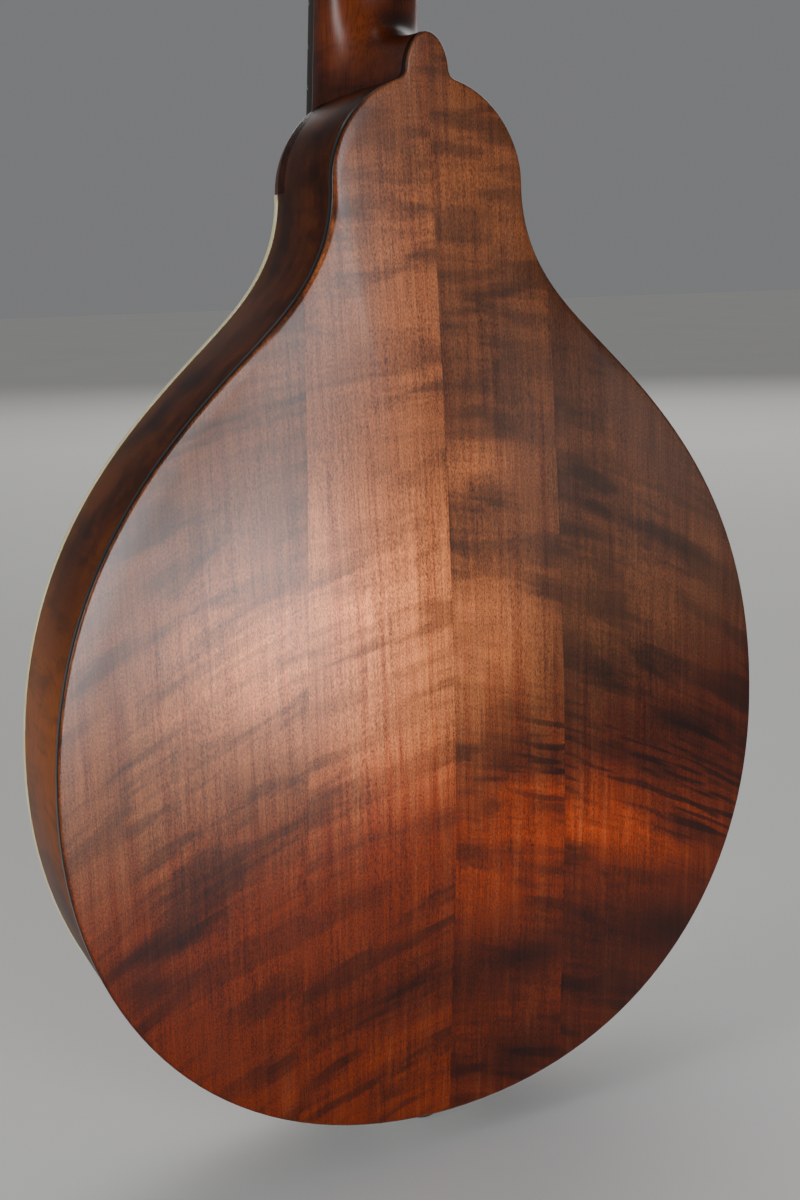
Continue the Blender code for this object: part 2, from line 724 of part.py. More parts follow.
def shoulder_mesh():
    """The neck's shoulders, which close the body above the soundboard and carry its outline on."""
    edge = between(HALF, SHOULDER_Z, FAR * 2)
    outline = edge + mirrored(edge)[-2::-1]
    rings = [[Vector((p.x, SHOULDER_LOW_Y, p.y)) for p in outline]]
    for shrink, drop in SHOULDER_ROUNDING:
        scale = 1 - shrink / SHOULDER_REACH
        ring = []
        for p in outline:
            z = SHOULDER_Z + (p.y - SHOULDER_Z) * scale
            ring.append(Vector((p.x * scale, neck_plane_y(z) - SHOULDER_DROP - drop, z)))
        rings.append(ring)
    return loft_mesh(rings)


def head_outline():
    """The headstock's outline in its own frame: narrow at the nut, flared, with a shallow crest."""
    half = bezier((HEAD_ROOT, HEAD_EAR), HEAD_FLARE_HANDLES, 4)
    half += bezier((HEAD_EAR, HEAD_SHOULDER), HEAD_SIDE_HANDLES, 5)
    half += bezier((HEAD_SHOULDER, HEAD_CREST), HEAD_CREST_HANDLES, 5)
    half += [HEAD_CREST]
    return half + mirrored(half)[-2::-1]


def post_bores(tools, head_frame):
    """Cutters for the eight post holes through the headstock."""
    bores = []
    for side, word in SIDES:
        for place, z in enumerate(POST_Z):
            base = Vector((POST_X * side, 0, z))
            ends = [base + Vector((0, y, 0)) for y in (-30 * MM, 9 * MM)]
            mesh = rod_mesh(*ends, POST_BORE_RADIUS)
            bores.append(mesh_object(f"cut post hole {word} {place}", mesh, tools, parent=head_frame))
    return bores


def make_neck(parts, tools, surfaces, neck_frame, head_frame, bores):
    """The shaft and heel, joined with the shoulders and the headstock in one piece of wood."""
    neck = mesh_object("neck", loft_mesh(shaft_rings() + heel_rings()), parts, surfaces["neck"])
    shoulder = mesh_object("join shoulder", shoulder_mesh(), tools)
    head = prism_mesh(head_outline(), -HEAD_THICKNESS, 0)
    head = mesh_object("join headstock", head, tools, parent=head_frame)
    body_space = prism_mesh(whole(inset(HALF, -GAP)), -40 * MM, RIB_HIGH_Y + GAP)
    body_space = mesh_object("cut body space", body_space, tools)
    corners = [(side * CHANNEL_HALF_WIDTH, y, z) for side, y, z in ((-1, *CHANNEL_LOW), (1, *CHANNEL_HIGH))]
    channel = mesh_object("cut truss rod channel", box_mesh(*corners), tools, parent=neck_frame)
    boolean(neck, shoulder, "UNION")
    boolean(neck, head, "UNION")
    boolean(neck, body_space)
    boolean(neck, channel)
    for bore in bores:
        boolean(neck, bore)
    ends = [(0, ROD_Y, z) for z in (ROD_LOW_Z, ROD_HIGH_Z)]
    rod = rod_mesh(*ends, ROD_RADIUS, ROD_SIDES)
    mesh_object("truss_rod", rod, parts, surfaces["steel"], neck_frame)


def make_head_face(parts, tools, surfaces, head_frame, bores):
    """The veneer on the headstock's face, and the cover over the truss rod's end."""
    low, high = VENEER_LIFT, VENEER_LIFT + VENEER_THICKNESS
    veneer = prism_mesh(head_outline(), low, high)
    veneer = mesh_object("headstock_veneer", veneer, parts, surfaces["veneer"], head_frame)
    window = box_mesh((-5 * MM, -5 * MM, -5 * MM), (5 * MM, 9 * MM, 21 * MM))
    boolean(veneer, mesh_object("cut truss rod window", window, tools, parent=head_frame))
    for bore in bores:
        boolean(veneer, bore)
    face = high + COVER_LIFT
    cover = prism_mesh(ROD_COVER_OUTLINE, face, face + COVER_THICKNESS, bevel=0.4 * MM)
    mesh_object("truss_rod_cover", cover, parts, surfaces["black"], head_frame)


def fret_distance(number):
    return SCALE_LENGTH * (1 - 2 ** (-number / 12))


def make_fingerboard(parts, tools, surfaces, neck_frame):
    """The board with a slot for each fret, and the nut."""
    end = -(fret_distance(FRETS) + BOARD_OVERHANG)
    low, high = BOARD_LIFT, FINGERBOARD_THICKNESS
    corners = [Vector((side * neck_half_width(end), end)) for side in (-1, 1)]
    corners += [Vector((side * neck_half_width(0), -SEAM)) for side in (1, -1)]
    board = mesh_object("fingerboard", prism_mesh(corners, low, high), parts, surfaces["ebony"], neck_frame)
    for number in range(1, FRETS + 1):
        z = -fret_distance(number)
        start = (-SLOT_REACH, high - SLOT_DEPTH, z - SLOT_HALF_WIDTH)
        stop = (SLOT_REACH, high + 5 * MM, z + SLOT_HALF_WIDTH)
        slot = mesh_object(f"cut fret slot {number}", box_mesh(start, stop), tools, parent=neck_frame)
        boolean(board, slot)
    half = NUT_HALF_WIDTH
    nut = box_mesh((-half, low, GAP), (half, NUT_STRING_HEIGHT - GAP, NUT_THICKNESS - GAP), bevel=0.6 * MM)
    mesh_object("nut", nut, parts, surfaces["bone"], neck_frame)


def make_riser(parts, surface):
    """The wedge between the soundboard and the fingerboard's overhang."""
    low_z, high_z = RISER_LOW_Z, SHOULDER_Z - 2 * GAP
    across = [RISER_HALF_WIDTH * share for share in (-1, -0.5, 0, 0.5, 1)]
    rings = []
    for i in range(RISER_STEPS + 1):
        z = low_z + (high_z - low_z) * i / RISER_STEPS
        low = [Vector((x, top_y(x, z) + GAP, z)) for x in across]
        high = [Vector((x, neck_plane_y(z) - SHOULDER_DROP, z)) for x in reversed(across)]
        rings.append(low + high)
    mesh_object("fingerboard_riser", loft_mesh(rings), parts, surface)


def tuner_post_mesh():
    """The geared foot and the post, about the post's own axis along y."""
    foot = -HEAD_THICKNESS - PLATE_THICKNESS - 2 * GAP
    count = 2 * GEAR_TEETH
    turns = [2 * math.pi * i / count for i in range(count)]
    radii = [GEAR_RADIUS - GEAR_DEPTH * (i % 2) for i in range(count)]
    rings = []
    for y in (foot - GEAR_THICKNESS, foot):
        rings.append([Vector((r * math.cos(a), y, r * math.sin(a))) for r, a in zip(radii, turns)])
    for y in (foot + 0.01 * MM, POST_HEIGHT):
        rings.append([Vector((POST_RADIUS * math.cos(a), y, POST_RADIUS * math.sin(a))) for a in turns])
    return loft_mesh(rings)


def worm_z(post_z):
    """The height of the worm's axis below its post."""
    return post_z - GEAR_RADIUS - WORM_RADIUS - GAP


def make_ears(plate_object, side, word, tools, head_frame):
    """The bearings of the four worms, two to each, joined to the plate and bored for the shaft."""
    for place, z in enumerate(POST_Z):
        axis_z = worm_z(z)
        for near, far in ((-EAR_FAR, -EAR_NEAR), (EAR_NEAR, EAR_FAR)):
            low = (POST_X * side + near, GEAR_Y - EAR_DROP, axis_z - EAR_HALF_HEIGHT)
            high = (POST_X * side + far, PLATE_LOW_Y + 0.5 * MM, axis_z + EAR_HALF_HEIGHT)
            name = f"join ear {word} {place} {near}"
            ear = mesh_object(name, box_mesh(low, high), tools, parent=head_frame)
            boolean(plate_object, ear, "UNION")
    for place, z in enumerate(POST_Z):
        ends = [Vector((POST_X * side, y, z)) for y in (-19 * MM, -9 * MM)]
        bore = rod_mesh(*ends, POST_BORE_RADIUS)
        boolean(plate_object, mesh_object(f"cut plate hole {word} {place}", bore, tools, parent=head_frame))
        ends = [Vector((x, GEAR_Y, worm_z(z))) for x in (0, POST_X * side * 2)]
        bore = rod_mesh(*ends, EAR_BORE_RADIUS)
        boolean(plate_object, mesh_object(f"cut ear hole {word} {place}", bore, tools, parent=head_frame))


def make_tuners(parts, tools, surfaces, head_frame):
    """On each side of the headstock: a plate with ears, four keys and four posts."""
    post_mesh = tuner_post_mesh()
    for side, word in SIDES:
        low = (POST_X * side - PLATE_HALF_WIDTH, PLATE_LOW_Y, POST_Z[0] - PLATE_BELOW)
        high = (POST_X * side + PLATE_HALF_WIDTH, PLATE_LOW_Y + PLATE_THICKNESS, POST_Z[-1] + PLATE_ABOVE)
        base = box_mesh(low, high, bevel=0.2 * MM)
        base = mesh_object(f"tuner_plate_{word}", base, parts, surfaces["nickel"], head_frame)
        make_ears(base, side, word, tools, head_frame)
        for place, z in enumerate(POST_Z):
            number = string_of(side, place)
            key = mesh_object(f"tuner_key_{number}", key_mesh(side), parts, surfaces["key"], head_frame)
            key.location = (POST_X * side, GEAR_Y, worm_z(z))
            name = f"tuner_post_{number}"
            post = mesh_object(name, post_mesh.copy(), parts, surfaces["steel"], head_frame)
            post.location = (POST_X * side, 0, z)


def string_of(side, place):
    """The string on a post. The outer strings go to the posts nearest the nut."""
    return 1 + place if side < 0 else 8 - place


def key_mesh(side):
    """A worm, its shaft and its flattened button, about the shaft's own axis along x."""
    mesh = turned_mesh(KEY_PROFILE, (0, 0, 0), (1, 0, 0), sides=10)
    for vertex in mesh.vertices:
        if vertex.co.x > BUTTON_START + 1 * MM:
            vertex.co.y *= BUTTON_FLATTENING
    if side < 0:
        mesh.transform(Matrix.Rotation(math.pi, 4, "Z"))
    return mesh


def crossing(number, course, pair):
    """A string's x where it crosses the nut or the saddle. Strings 1 to 4 are on the treble side."""
    group, which = divmod(number - 1, 2)
    return (group - 1.5) * course + (which * 2 - 1) * pair


def saddle_z():
    return (neck_to_row() @ Vector((0, 0, -SCALE_LENGTH))).z


def string_path(number, radius):
    """A string's centre line, from its hook over the saddle and the nut to its post."""
    row, head = neck_to_row(), head_to_row()
    side = -1 if number <= 4 else 1
    place = number - 1 if side < 0 else 8 - number
    hook = Vector(((number - 4.5) * HOOK_SPACING, tailpiece_y() + STRING_ABOVE_PLATE, HOOK_Z + 2 * MM))
    saddle_x = crossing(number, SADDLE_COURSE, SADDLE_PAIR)
    saddle = Vector((saddle_x, SADDLE_STRING_HEIGHT + radius, -SCALE_LENGTH))
    nut_x = crossing(number, NUT_COURSE, NUT_PAIR)
    nut, past_nut = (Vector((nut_x, NUT_STRING_HEIGHT + radius, z)) for z in (0, NUT_THICKNESS))
    post_x = (POST_X - POST_RADIUS - GAP - radius) * side
    post = Vector((post_x, VENEER_THICKNESS + 5 * MM, POST_Z[place]))
    return [hook, row @ saddle, row @ nut, row @ past_nut, head @ post]


def make_strings(parts, surface):
    for number, diameter in enumerate(STRING_DIAMETERS, 1):
        path = string_path(number, diameter / 2)
        curve = bpy.data.curves.new(f"string_{number}", "CURVE")
        curve.dimensions = "3D"
        curve.bevel_depth = diameter / 2
        curve.bevel_resolution = 1
        curve.use_fill_caps = True
        spline = curve.splines.new("POLY")
        spline.points.add(len(path) - 1)
        for point, stop in zip(spline.points, path):
            point.co = (*stop, 1)
        curve.materials.append(surface)
        parts.objects.link(bpy.data.objects.new(f"string_{number}", curve))


def tailpiece_y():
    """The top face of the tailpiece's base."""
    return top_y(0, HOOK_Z + 16 * MM) + TAILPIECE_RISE


def make_tailpiece_base(parts, tools, surface):
    """A plate bent over the tail's edge, with a ridge that stands for the string hooks."""
    face, thick, bend = tailpiece_y(), TAILPIECE_THICKNESS, TAILPIECE_BEND
    high_z = HOOK_Z + 14 * MM
    inside = [(TAILPIECE_LOW_Y, HEEL_Z), (TAILPIECE_LOW_Y, HEEL_Z + thick)]
    inside += [(face - thick - bend, HEEL_Z + thick), (face - thick, HEEL_Z + thick + bend)]
    inside += [(face - thick, high_z), (face, high_z)]
    ridge = [(face, HOOK_Z), (face + HOOK_RISE, HOOK_Z), (face + HOOK_RISE, HOOK_Z - HOOK_WIDTH)]
    ridge += [(face, HOOK_Z - HOOK_WIDTH)]
    outside = [(face, HEEL_Z + bend), (face - bend, HEEL_Z)]
    ends = (-TAILPIECE_HALF_WIDTH, TAILPIECE_HALF_WIDTH)
    rings = [[Vector((x, y, z)) for y, z in inside + ridge + outside] for x in ends]
    base = mesh_object("tailpiece_base", loft_mesh(rings), parts, surface)
    hole = rod_mesh((0, 0, -5 * MM), (0, 0, 20 * MM), PIN_HOLE_RADIUS)
    boolean(base, mesh_object("cut tailpiece hole", hole, tools))


def cover_rings(low_y, high_y, low_z, high_z):
    """Sections of the cover's outside, a rounded rectangle that draws in towards its top."""
    count = 4 * COVER_STEPS
    middle = (low_z + high_z) / 2
    rings = []
    for drawn_in, lift in COVER_PROFILE:
        y = low_y + lift * (high_y - low_y)
        ring = []
        for i in range(count):
            corner = superellipse(2 * math.pi * i / count, COVER_POWER)
            x = corner.x * (TAILPIECE_HALF_WIDTH + COVER_OVERHANG - drawn_in)
            z = middle + corner.y * ((high_z - low_z) / 2 - drawn_in * COVER_END_SHARE)
            ring.append(Vector((x, y, z)))
        rings.append(ring)
    return rings


def make_tailpiece_cover(parts, tools, surface):
    """The slide-on cover: a shell with a gate at its upper end for the strings."""
    low_y, high_y = tailpiece_y() + GAP, tailpiece_y() + COVER_HEIGHT
    low_z, high_z = HEEL_Z - 1 * MM, HOOK_Z + 26 * MM
    middle = (low_z + high_z) / 2
    rings = cover_rings(low_y, high_y, low_z, high_z)
    cover = mesh_object("tailpiece_cover", loft_mesh(rings), parts, surface)

    def within(p):
        across = math.copysign(COVER_WALL, p.x)
        along = math.copysign(COVER_WALL, p.z - middle)
        return p - Vector((across, COVER_WALL, along))

    inner = [[within(p) for p in ring] for ring in rings]
    inner[0] = [p - Vector((0, 4 * MM, 0)) for p in inner[0]]
    boolean(cover, mesh_object("cut cover inside", loft_mesh(inner), tools))
    half = TAILPIECE_HALF_WIDTH
    gate = box_mesh((-half, low_y - 5 * MM, high_z - 8 * MM), (half, low_y + GATE_HEIGHT, high_z + 5 * MM))
    boolean(cover, mesh_object("cut string gate", gate, tools))


def superellipse(angle, power):
    """A point on the unit superellipse: a circle at power 2, and nearer a square above it."""
    c, s = math.cos(angle), math.sin(angle)
    return Vector((math.copysign(abs(c) ** (2 / power), c), math.copysign(abs(s) ** (2 / power), s)))


def bridge_crest():
    """The soundboard's height under the middle of the bridge."""
    return top_y(0, saddle_z())


def wheel_low_y():
    return bridge_crest() + WHEEL_LIFT


def make_bridge_base(parts, surface):
    """The bridge's foot, fitted to the soundboard's arch and tapered to its ends."""
    z0 = saddle_z()
    half_length, half_width = BRIDGE_HALF
    rings = []
    for i in range(BRIDGE_STEPS + 1):
        x = half_length * (2 * i / BRIDGE_STEPS - 1)
        share = abs(x) / half_length
        low = max(top_y(x, z0 - half_width), top_y(x, z0 + half_width)) + GAP
        high = bridge_crest() + BRIDGE_HEIGHT - BRIDGE_END_DROP * share**2.2
        half = half_width * (1 - 0.25 * share**3)
        corners = ((low, -half), (low, half), (high, half * 0.7), (high, -half * 0.7))
        rings.append([Vector((x, y, z0 + across)) for y, across in corners])
    return mesh_object("bridge_base", loft_mesh(rings), parts, surface)


def make_saddle(parts, surface):
    """The bar that the strings cross, peaked along its top and cut away under its ends."""
    z0 = saddle_z()
    string_y = (neck_to_row() @ Vector((0, SADDLE_STRING_HEIGHT, -SCALE_LENGTH))).y
    saddle_low = wheel_low_y() + WHEEL_THICKNESS + GAP
    half_length, depth = SADDLE_HALF
    rings = []
    for share in (-1, -0.8, -0.5, -0.2, 0.2, 0.5, 0.8, 1):
        at_end = abs(share) == 1
        low = saddle_low + SADDLE_END_RISE * at_end
        high = string_y - GAP - SADDLE_END_DROP * at_end
        corners = ((low, -depth), (low, depth), (high, SADDLE_PEAK), (high, -SADDLE_PEAK))
        rings.append([Vector((half_length * share, y, z0 + across)) for y, across in corners])
    return mesh_object("bridge_saddle", loft_mesh(rings), parts, surface)


def make_bridge(parts, tools, surfaces):
    """The foot and the saddle, with a stud and a thumb wheel between them on each side."""
    z0 = saddle_z()
    base = make_bridge_base(parts, surfaces["ebony"])
    saddle = make_saddle(parts, surfaces["ebony"])
    wheel_low, wheel_high = wheel_low_y(), wheel_low_y() + WHEEL_THICKNESS
    stud_low, stud_high = bridge_crest() + 2.5 * MM, wheel_high + GAP + 3.5 * MM
    for side, word in SIDES:
        x = STUD_X * side

        def upright(low, high, radius, sides):
            return rod_mesh((x, low, z0), (x, high, z0), radius, sides)

        stud = upright(stud_low, stud_high, STUD_RADIUS, 10)
        mesh_object(f"bridge_stud_{word}", stud, parts, surfaces["nickel"])
        socket = upright(stud_low - GAP, stud_low + 20 * MM, STUD_RADIUS + SEAM, 16)
        boolean(base, mesh_object(f"cut stud socket {word}", socket, tools))
        socket = upright(stud_low, stud_high + 2.5 * MM, STUD_BORE_RADIUS, 10)
        boolean(saddle, mesh_object(f"cut saddle socket {word}", socket, tools))
        wheel = rod_mesh((0, wheel_low, 0), (0, wheel_high, 0), WHEEL_RADIUS, 20)
        wheel = mesh_object(f"bridge_wheel_{word}", wheel, parts, surfaces["nickel"])
        wheel.location = (x, 0, z0)
        hole = upright(stud_low, stud_high + 9 * MM, STUD_BORE_RADIUS, 10)
        boolean(wheel, mesh_object(f"cut wheel hole {word}", hole, tools))


def make_surfaces():
    return {
        "back": material("stained maple back", WOOD_BACK, 0.35),
        "rib": material("stained maple rib", WOOD_RIB, 0.35),
        "neck": material("stained neck", WOOD_RIB, 0.35),
        "top": material("stained spruce", WOOD_TOP, 0.35),
        "bare": material("bare wood", WOOD_BARE, 0.7),
        "binding": material("cream binding", CREAM, 0.4),
        "ebony": material("ebony", EBONY, 0.4),
        "veneer": material("black veneer", EBONY, 0.3),
        "bone": material("bone", BONE, 0.4),
        "black": material("black plastic", EBONY, 0.3),
        "key": material("pearloid button", PEARLOID, 0.3),
        "nickel": material("nickel", NICKEL, 0.25, 1),
        "steel": material("steel", NICKEL, 0.35, 1),
    }


def main():
    clear_scene()
    parts = collection("mandolin")
    tools = collection("cutters", hidden=True)
    surfaces = make_surfaces()
    neck_frame = frame_empty("neck_frame", NECK_ORIGIN, NECK_TILT, parts)
    head_frame = frame_empty("head_frame", (0, 0, NUT_THICKNESS), HEAD_TILT, parts, neck_frame)
    make_back(parts, tools, surfaces["back"])
    make_top(parts, tools, surfaces["top"])
    make_rim(parts, tools, surfaces)
    make_brace(parts, surfaces["bare"])
    bores = post_bores(tools, head_frame)
    make_neck(parts, tools, surfaces, neck_frame, head_frame, bores)
    make_head_face(parts, tools, surfaces, head_frame, bores)
    make_fingerboard(parts, tools, surfaces, neck_frame)
    make_riser(parts, surfaces["ebony"])
    make_tuners(parts, tools, surfaces, head_frame)
    make_strings(parts, surfaces["steel"])
    make_tailpiece_base(parts, tools, surfaces["nickel"])
    make_tailpiece_cover(parts, tools, surfaces["nickel"])
    turned_object("end_pin", END_PIN_PROFILE, END_PIN_SIDES, parts, surfaces["black"])
    make_bridge(parts, tools, surfaces)


main()
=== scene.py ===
"""The looks of a teardrop mandolin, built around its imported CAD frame.

Row frame, in metres: +Z runs along the body to the neck, +Y points out of the soundboard, and +X is the
bass side. The camera looks at the back from the treble side. The neck and the headstock are drawn in tilted
frames of their own, whose origins are at the nut.
"""

from math import atan2, copysign, cos, hypot, pi, radians, sin, tan

import bmesh
import bpy
import numpy as np
from mathutils import Matrix, Vector


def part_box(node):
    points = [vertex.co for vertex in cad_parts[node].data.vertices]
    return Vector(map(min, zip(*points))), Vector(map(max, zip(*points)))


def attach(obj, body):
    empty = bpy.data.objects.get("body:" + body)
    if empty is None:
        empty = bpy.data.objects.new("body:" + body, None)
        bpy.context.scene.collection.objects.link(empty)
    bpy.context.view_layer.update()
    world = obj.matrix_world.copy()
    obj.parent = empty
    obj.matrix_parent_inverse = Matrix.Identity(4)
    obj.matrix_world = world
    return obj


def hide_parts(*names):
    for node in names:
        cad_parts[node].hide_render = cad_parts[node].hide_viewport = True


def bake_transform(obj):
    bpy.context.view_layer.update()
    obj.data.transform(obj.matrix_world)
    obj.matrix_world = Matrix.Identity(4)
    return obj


MM = 0.001
ROOT = "body_and_neck"
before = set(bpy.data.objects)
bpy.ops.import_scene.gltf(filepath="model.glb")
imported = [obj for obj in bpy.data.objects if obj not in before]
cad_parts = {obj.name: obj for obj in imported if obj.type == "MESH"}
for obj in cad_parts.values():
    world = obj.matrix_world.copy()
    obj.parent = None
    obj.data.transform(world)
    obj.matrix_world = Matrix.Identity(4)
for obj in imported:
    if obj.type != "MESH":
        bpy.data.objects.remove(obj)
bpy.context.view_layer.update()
SIDES = ((-1, "treble"), (1, "bass"))

# Body outline, seen from the back: a half of it is four Bezier curves from the tail to the crown.
TAIL_Z = 12 * MM
WIDEST = Vector((127, 140.6)) * MM
WAIST = Vector((55.1, 280)) * MM
WAIST_DIRECTION = radians(136.8)
CHEEK = Vector((32.4, 323.9)) * MM
CROWN_Z = 355.4 * MM
OUTLINE_HANDLES = [h * MM for h in (78.1, 71.9, 78.9, 37.1, 17.2, 19.9, 13.9, 20.6)]
OUTLINE_STEPS = (34, 30, 22, 22)
BUTTON_TOP_Z = 367.6 * MM

# Depth of the body, its arches and its seams.
EDGE_Y = 23.7 * MM
BACK_THICKNESS = 3.2 * MM
TOP_THICKNESS = 2.4 * MM
RIB_THICKNESS = 2.2 * MM
RIB_DEPTH = 0.3 * MM
BINDING_WIDTH = 2.2 * MM
BACK_ROUND_OVER = 1.1 * MM
GLUE_LINE = 0.1 * MM
ARCH_CENTRE = Vector((0, 150)) * MM
BACK_ARCH = 9.8 * MM
TOP_ARCH = 10 * MM
ARCH_FULLNESS = 1.4
RIDGE_HALF_WIDTH = 88 * MM
RIDGE_TO_NECK = 199 * MM
RIDGE_TO_TAIL = 138 * MM
FACE_SHARES = [0.04, 0.1, 0.17, 0.24, 0.31, 0.38, 0.45, 0.52, 0.58, 0.64, 0.7, 0.76]
FACE_SHARES += [0.81, 0.86, 0.9, 0.94, 0.97, 1]
INNER_SHARES = [0.97, 0.85, 0.7, 0.5, 0.25]
SHOULDER_Z = 322.8 * MM
SOUND_HOLE_Z = 226 * MM
SOUND_HOLE_HALF = Vector((27, 19)) * MM
TREBLE_SEAM = (Vector((-56.5, 12)) * MM, Vector((-40, 355)) * MM)
BASS_SEAM = (Vector((45.2, 12)) * MM, Vector((40, 355)) * MM)
CENTRE_SEAM = (Vector((0, 12)) * MM, Vector((0, 355)) * MM)

# Neck, fingerboard and strings. Heights are above the neck's top plane.
SCALE_LENGTH = 352.4 * MM
FRETS = 20
NECK_TILT = radians(5.6)
NECK_ORIGIN = Vector((0, 9.3, 498)) * MM
NUT_HALF_WIDTH = 14.6 * MM
TAPER = 0.0226
NECK_DEPTH = 13.5 * MM
NECK_DEPTH_GROWTH = 0.018
FINGERBOARD_THICKNESS = 5 * MM
NUT_THICKNESS = 4 * MM
NUT_STRING_HEIGHT = 6.2 * MM
SADDLE_STRING_HEIGHT = 9 * MM

# Headstock and tuning machines, in the headstock's frame.
HEAD_TILT = radians(13)
HEAD_THICKNESS = 14 * MM
VENEER_THICKNESS = 1.5 * MM
FACE_Y = GLUE_LINE + VENEER_THICKNESS
POST_X = 17.5 * MM
POST_Z = [z * MM for z in (31, 54.5, 78, 101.5)]
GEAR_TEETH = 14
GEAR_RADIUS = 5.2 * MM
GEAR_DEPTH = 1 * MM
GEAR_THICKNESS = 3.8 * MM
WORM_RADIUS = 1.9 * MM
SHAFT_RADIUS = 1.4 * MM
POST_RADIUS = 3 * MM
POST_HEIGHT = 13 * MM
POST_WAIST = 2.45 * MM
WINDING_Y = VENEER_THICKNESS + 5.6 * MM
PLATE_THICKNESS = 1 * MM
PLATE_SCREW_RADIUS = 1.5 * MM
GAP = 0.3 * MM

# Bridge and tailpiece.
BRIDGE_HALF = Vector((56, 6)) * MM
SADDLE_HALF = Vector((37, 2.6)) * MM
STUD_X = 28 * MM
WHEEL_RADIUS = 4.6 * MM
HOOK_Z = 30 * MM
HOOK_SPACING = 4.3 * MM
TAILPIECE_HALF = 19 * MM
TAILPIECE_HEEL_Z = TAIL_Z - 2.4 * MM

STRING_DIAMETERS = [d * MM for d in (0.25, 0.25, 0.36, 0.36, 0.61, 0.61, 0.97, 0.97)]
NUT_COURSE, NUT_PAIR = 7 * MM, 1.2 * MM
SADDLE_COURSE, SADDLE_PAIR = 12.2 * MM, 1.6 * MM


# ---------------------------------------------------------------- finishes


class Value:
    """A number or colour inside a material. Arithmetic on it makes the nodes that do the same."""

    def __init__(self, finish, socket):
        self.finish = finish
        self.socket = socket

    def __add__(self, other):
        return self.finish.math("ADD", self, other)

    def __radd__(self, other):
        return self.finish.math("ADD", other, self)

    def __sub__(self, other):
        return self.finish.math("SUBTRACT", self, other)

    def __rsub__(self, other):
        return self.finish.math("SUBTRACT", other, self)

    def __mul__(self, other):
        return self.finish.math("MULTIPLY", self, other)

    def __pow__(self, other):
        return self.finish.math("POWER", self, other)


class Finish:
    """A material being made, with short calls for the nodes it needs. Places are in millimetres."""

    def __init__(self, name, roughness=0.4, metallic=0.0, **sockets):
        self.material = bpy.data.materials.new(name)
        self.material.use_nodes = True
        self.nodes = self.material.node_tree.nodes
        self.links = self.material.node_tree.links
        self.shader = self.nodes["Principled BSDF"].inputs
        sockets.update(Roughness=roughness, Metallic=metallic)
        for socket, value in sockets.items():
            self.shader[socket.replace("_", " ")].default_value = value
        place = self.nodes.new("ShaderNodeTexCoord").outputs["Object"]
        self.place = self.scaled(Value(self, place), (1000, 1000, 1000))
        axes = self.node("ShaderNodeSeparateXYZ", (self.place,)).outputs
        self.x, self.y, self.z = (Value(self, axis) for axis in axes)

    def node(self, kind, inputs=(), **settings):
        """A new node. Its inputs are fed in order, or by name or number where they come as a dictionary."""
        made = self.nodes.new(kind)
        for key, value in settings.items():
            setattr(made, key, value)
        for key, value in inputs.items() if isinstance(inputs, dict) else enumerate(inputs):
            self.feed(made.inputs[key], value)
        return made

    def value(self, kind, inputs, **settings):
        return Value(self, self.node(kind, inputs, **settings).outputs[0])

    def feed(self, socket, value):
        if isinstance(value, Value):
            self.links.new(value.socket, socket)
        else:
            socket.default_value = value

    def math(self, operation, *inputs, clamp=False):
        return self.value("ShaderNodeMath", inputs, operation=operation, use_clamp=clamp)

    def vector(self, x, y, z):
        return self.value("ShaderNodeCombineXYZ", (x, y, z))

    def scaled(self, vector, scale):
        return self.value("ShaderNodeVectorMath", (vector, scale), operation="MULTIPLY")

    def noise(self, vector, detail=3.0, roughness=0.5, distortion=0.0):
        inputs = {"Vector": vector, "Scale": 1.0, "Detail": detail}
        inputs.update(Roughness=roughness, Distortion=distortion)
        return self.value("ShaderNodeTexNoise", inputs)

    def stretched(self, x, y, z, **noise):
        """Noise whose features are about x, y and z millimetres across."""
        return self.noise(self.scaled(self.place, (1 / x, 1 / y, 1 / z)), **noise)

    def step(self, value, low, high):
        """A smooth rise from 0 at low to 1 at high."""
        return self.value("ShaderNodeMapRange", (value, low, high), interpolation_type="SMOOTHSTEP")

    def bell(self, square):
        """1 where a squared distance is 0, falling away to 0 like a bell."""
        return self.math("EXPONENT", square * -1.0)

    def spot(self, x, z, across, along, lean=0.0):
        """A bell round a point of the x-z plane. It leans by a slope of z over x."""
        dx = self.x - x
        dz = self.z - z
        if lean:
            dz = dz - dx * lean
        return self.bell((dx * (1 / across)) ** 2.0 + (dz * (1 / along)) ** 2.0)

    def mix(self, factor, a, b, blend="MIX"):
        """One colour blended over another. Fixed colours are (red, green, blue)."""
        a, b = ((*color, 1) if isinstance(color, tuple) else color for color in (a, b))
        made = self.node("ShaderNodeMix", data_type="RGBA", blend_type=blend)
        for number, value in ((0, factor), (6, a), (7, b)):
            self.feed(made.inputs[number], value)
        return Value(self, made.outputs[2])

    def lit(self, color, amount):
        """The colour multiplied by an amount."""
        return self.mix(1.0, color, self.vector(amount, amount, amount), "MULTIPLY")

    def darker(self, color, amount):
        """The colour multiplied by 1 - amount."""
        return self.lit(color, self.math("SUBTRACT", 1.0, amount, clamp=True))

    def color(self, value):
        self.feed(self.shader["Base Color"], value)
        return self

    def rough(self, value):
        self.feed(self.shader["Roughness"], value)
        return self

    def bump(self, height, distance, strength=1.0):
        inputs = {"Strength": strength, "Distance": distance, "Height": height}
        self.feed(self.shader["Normal"], self.value("ShaderNodeBump", inputs))
        return self


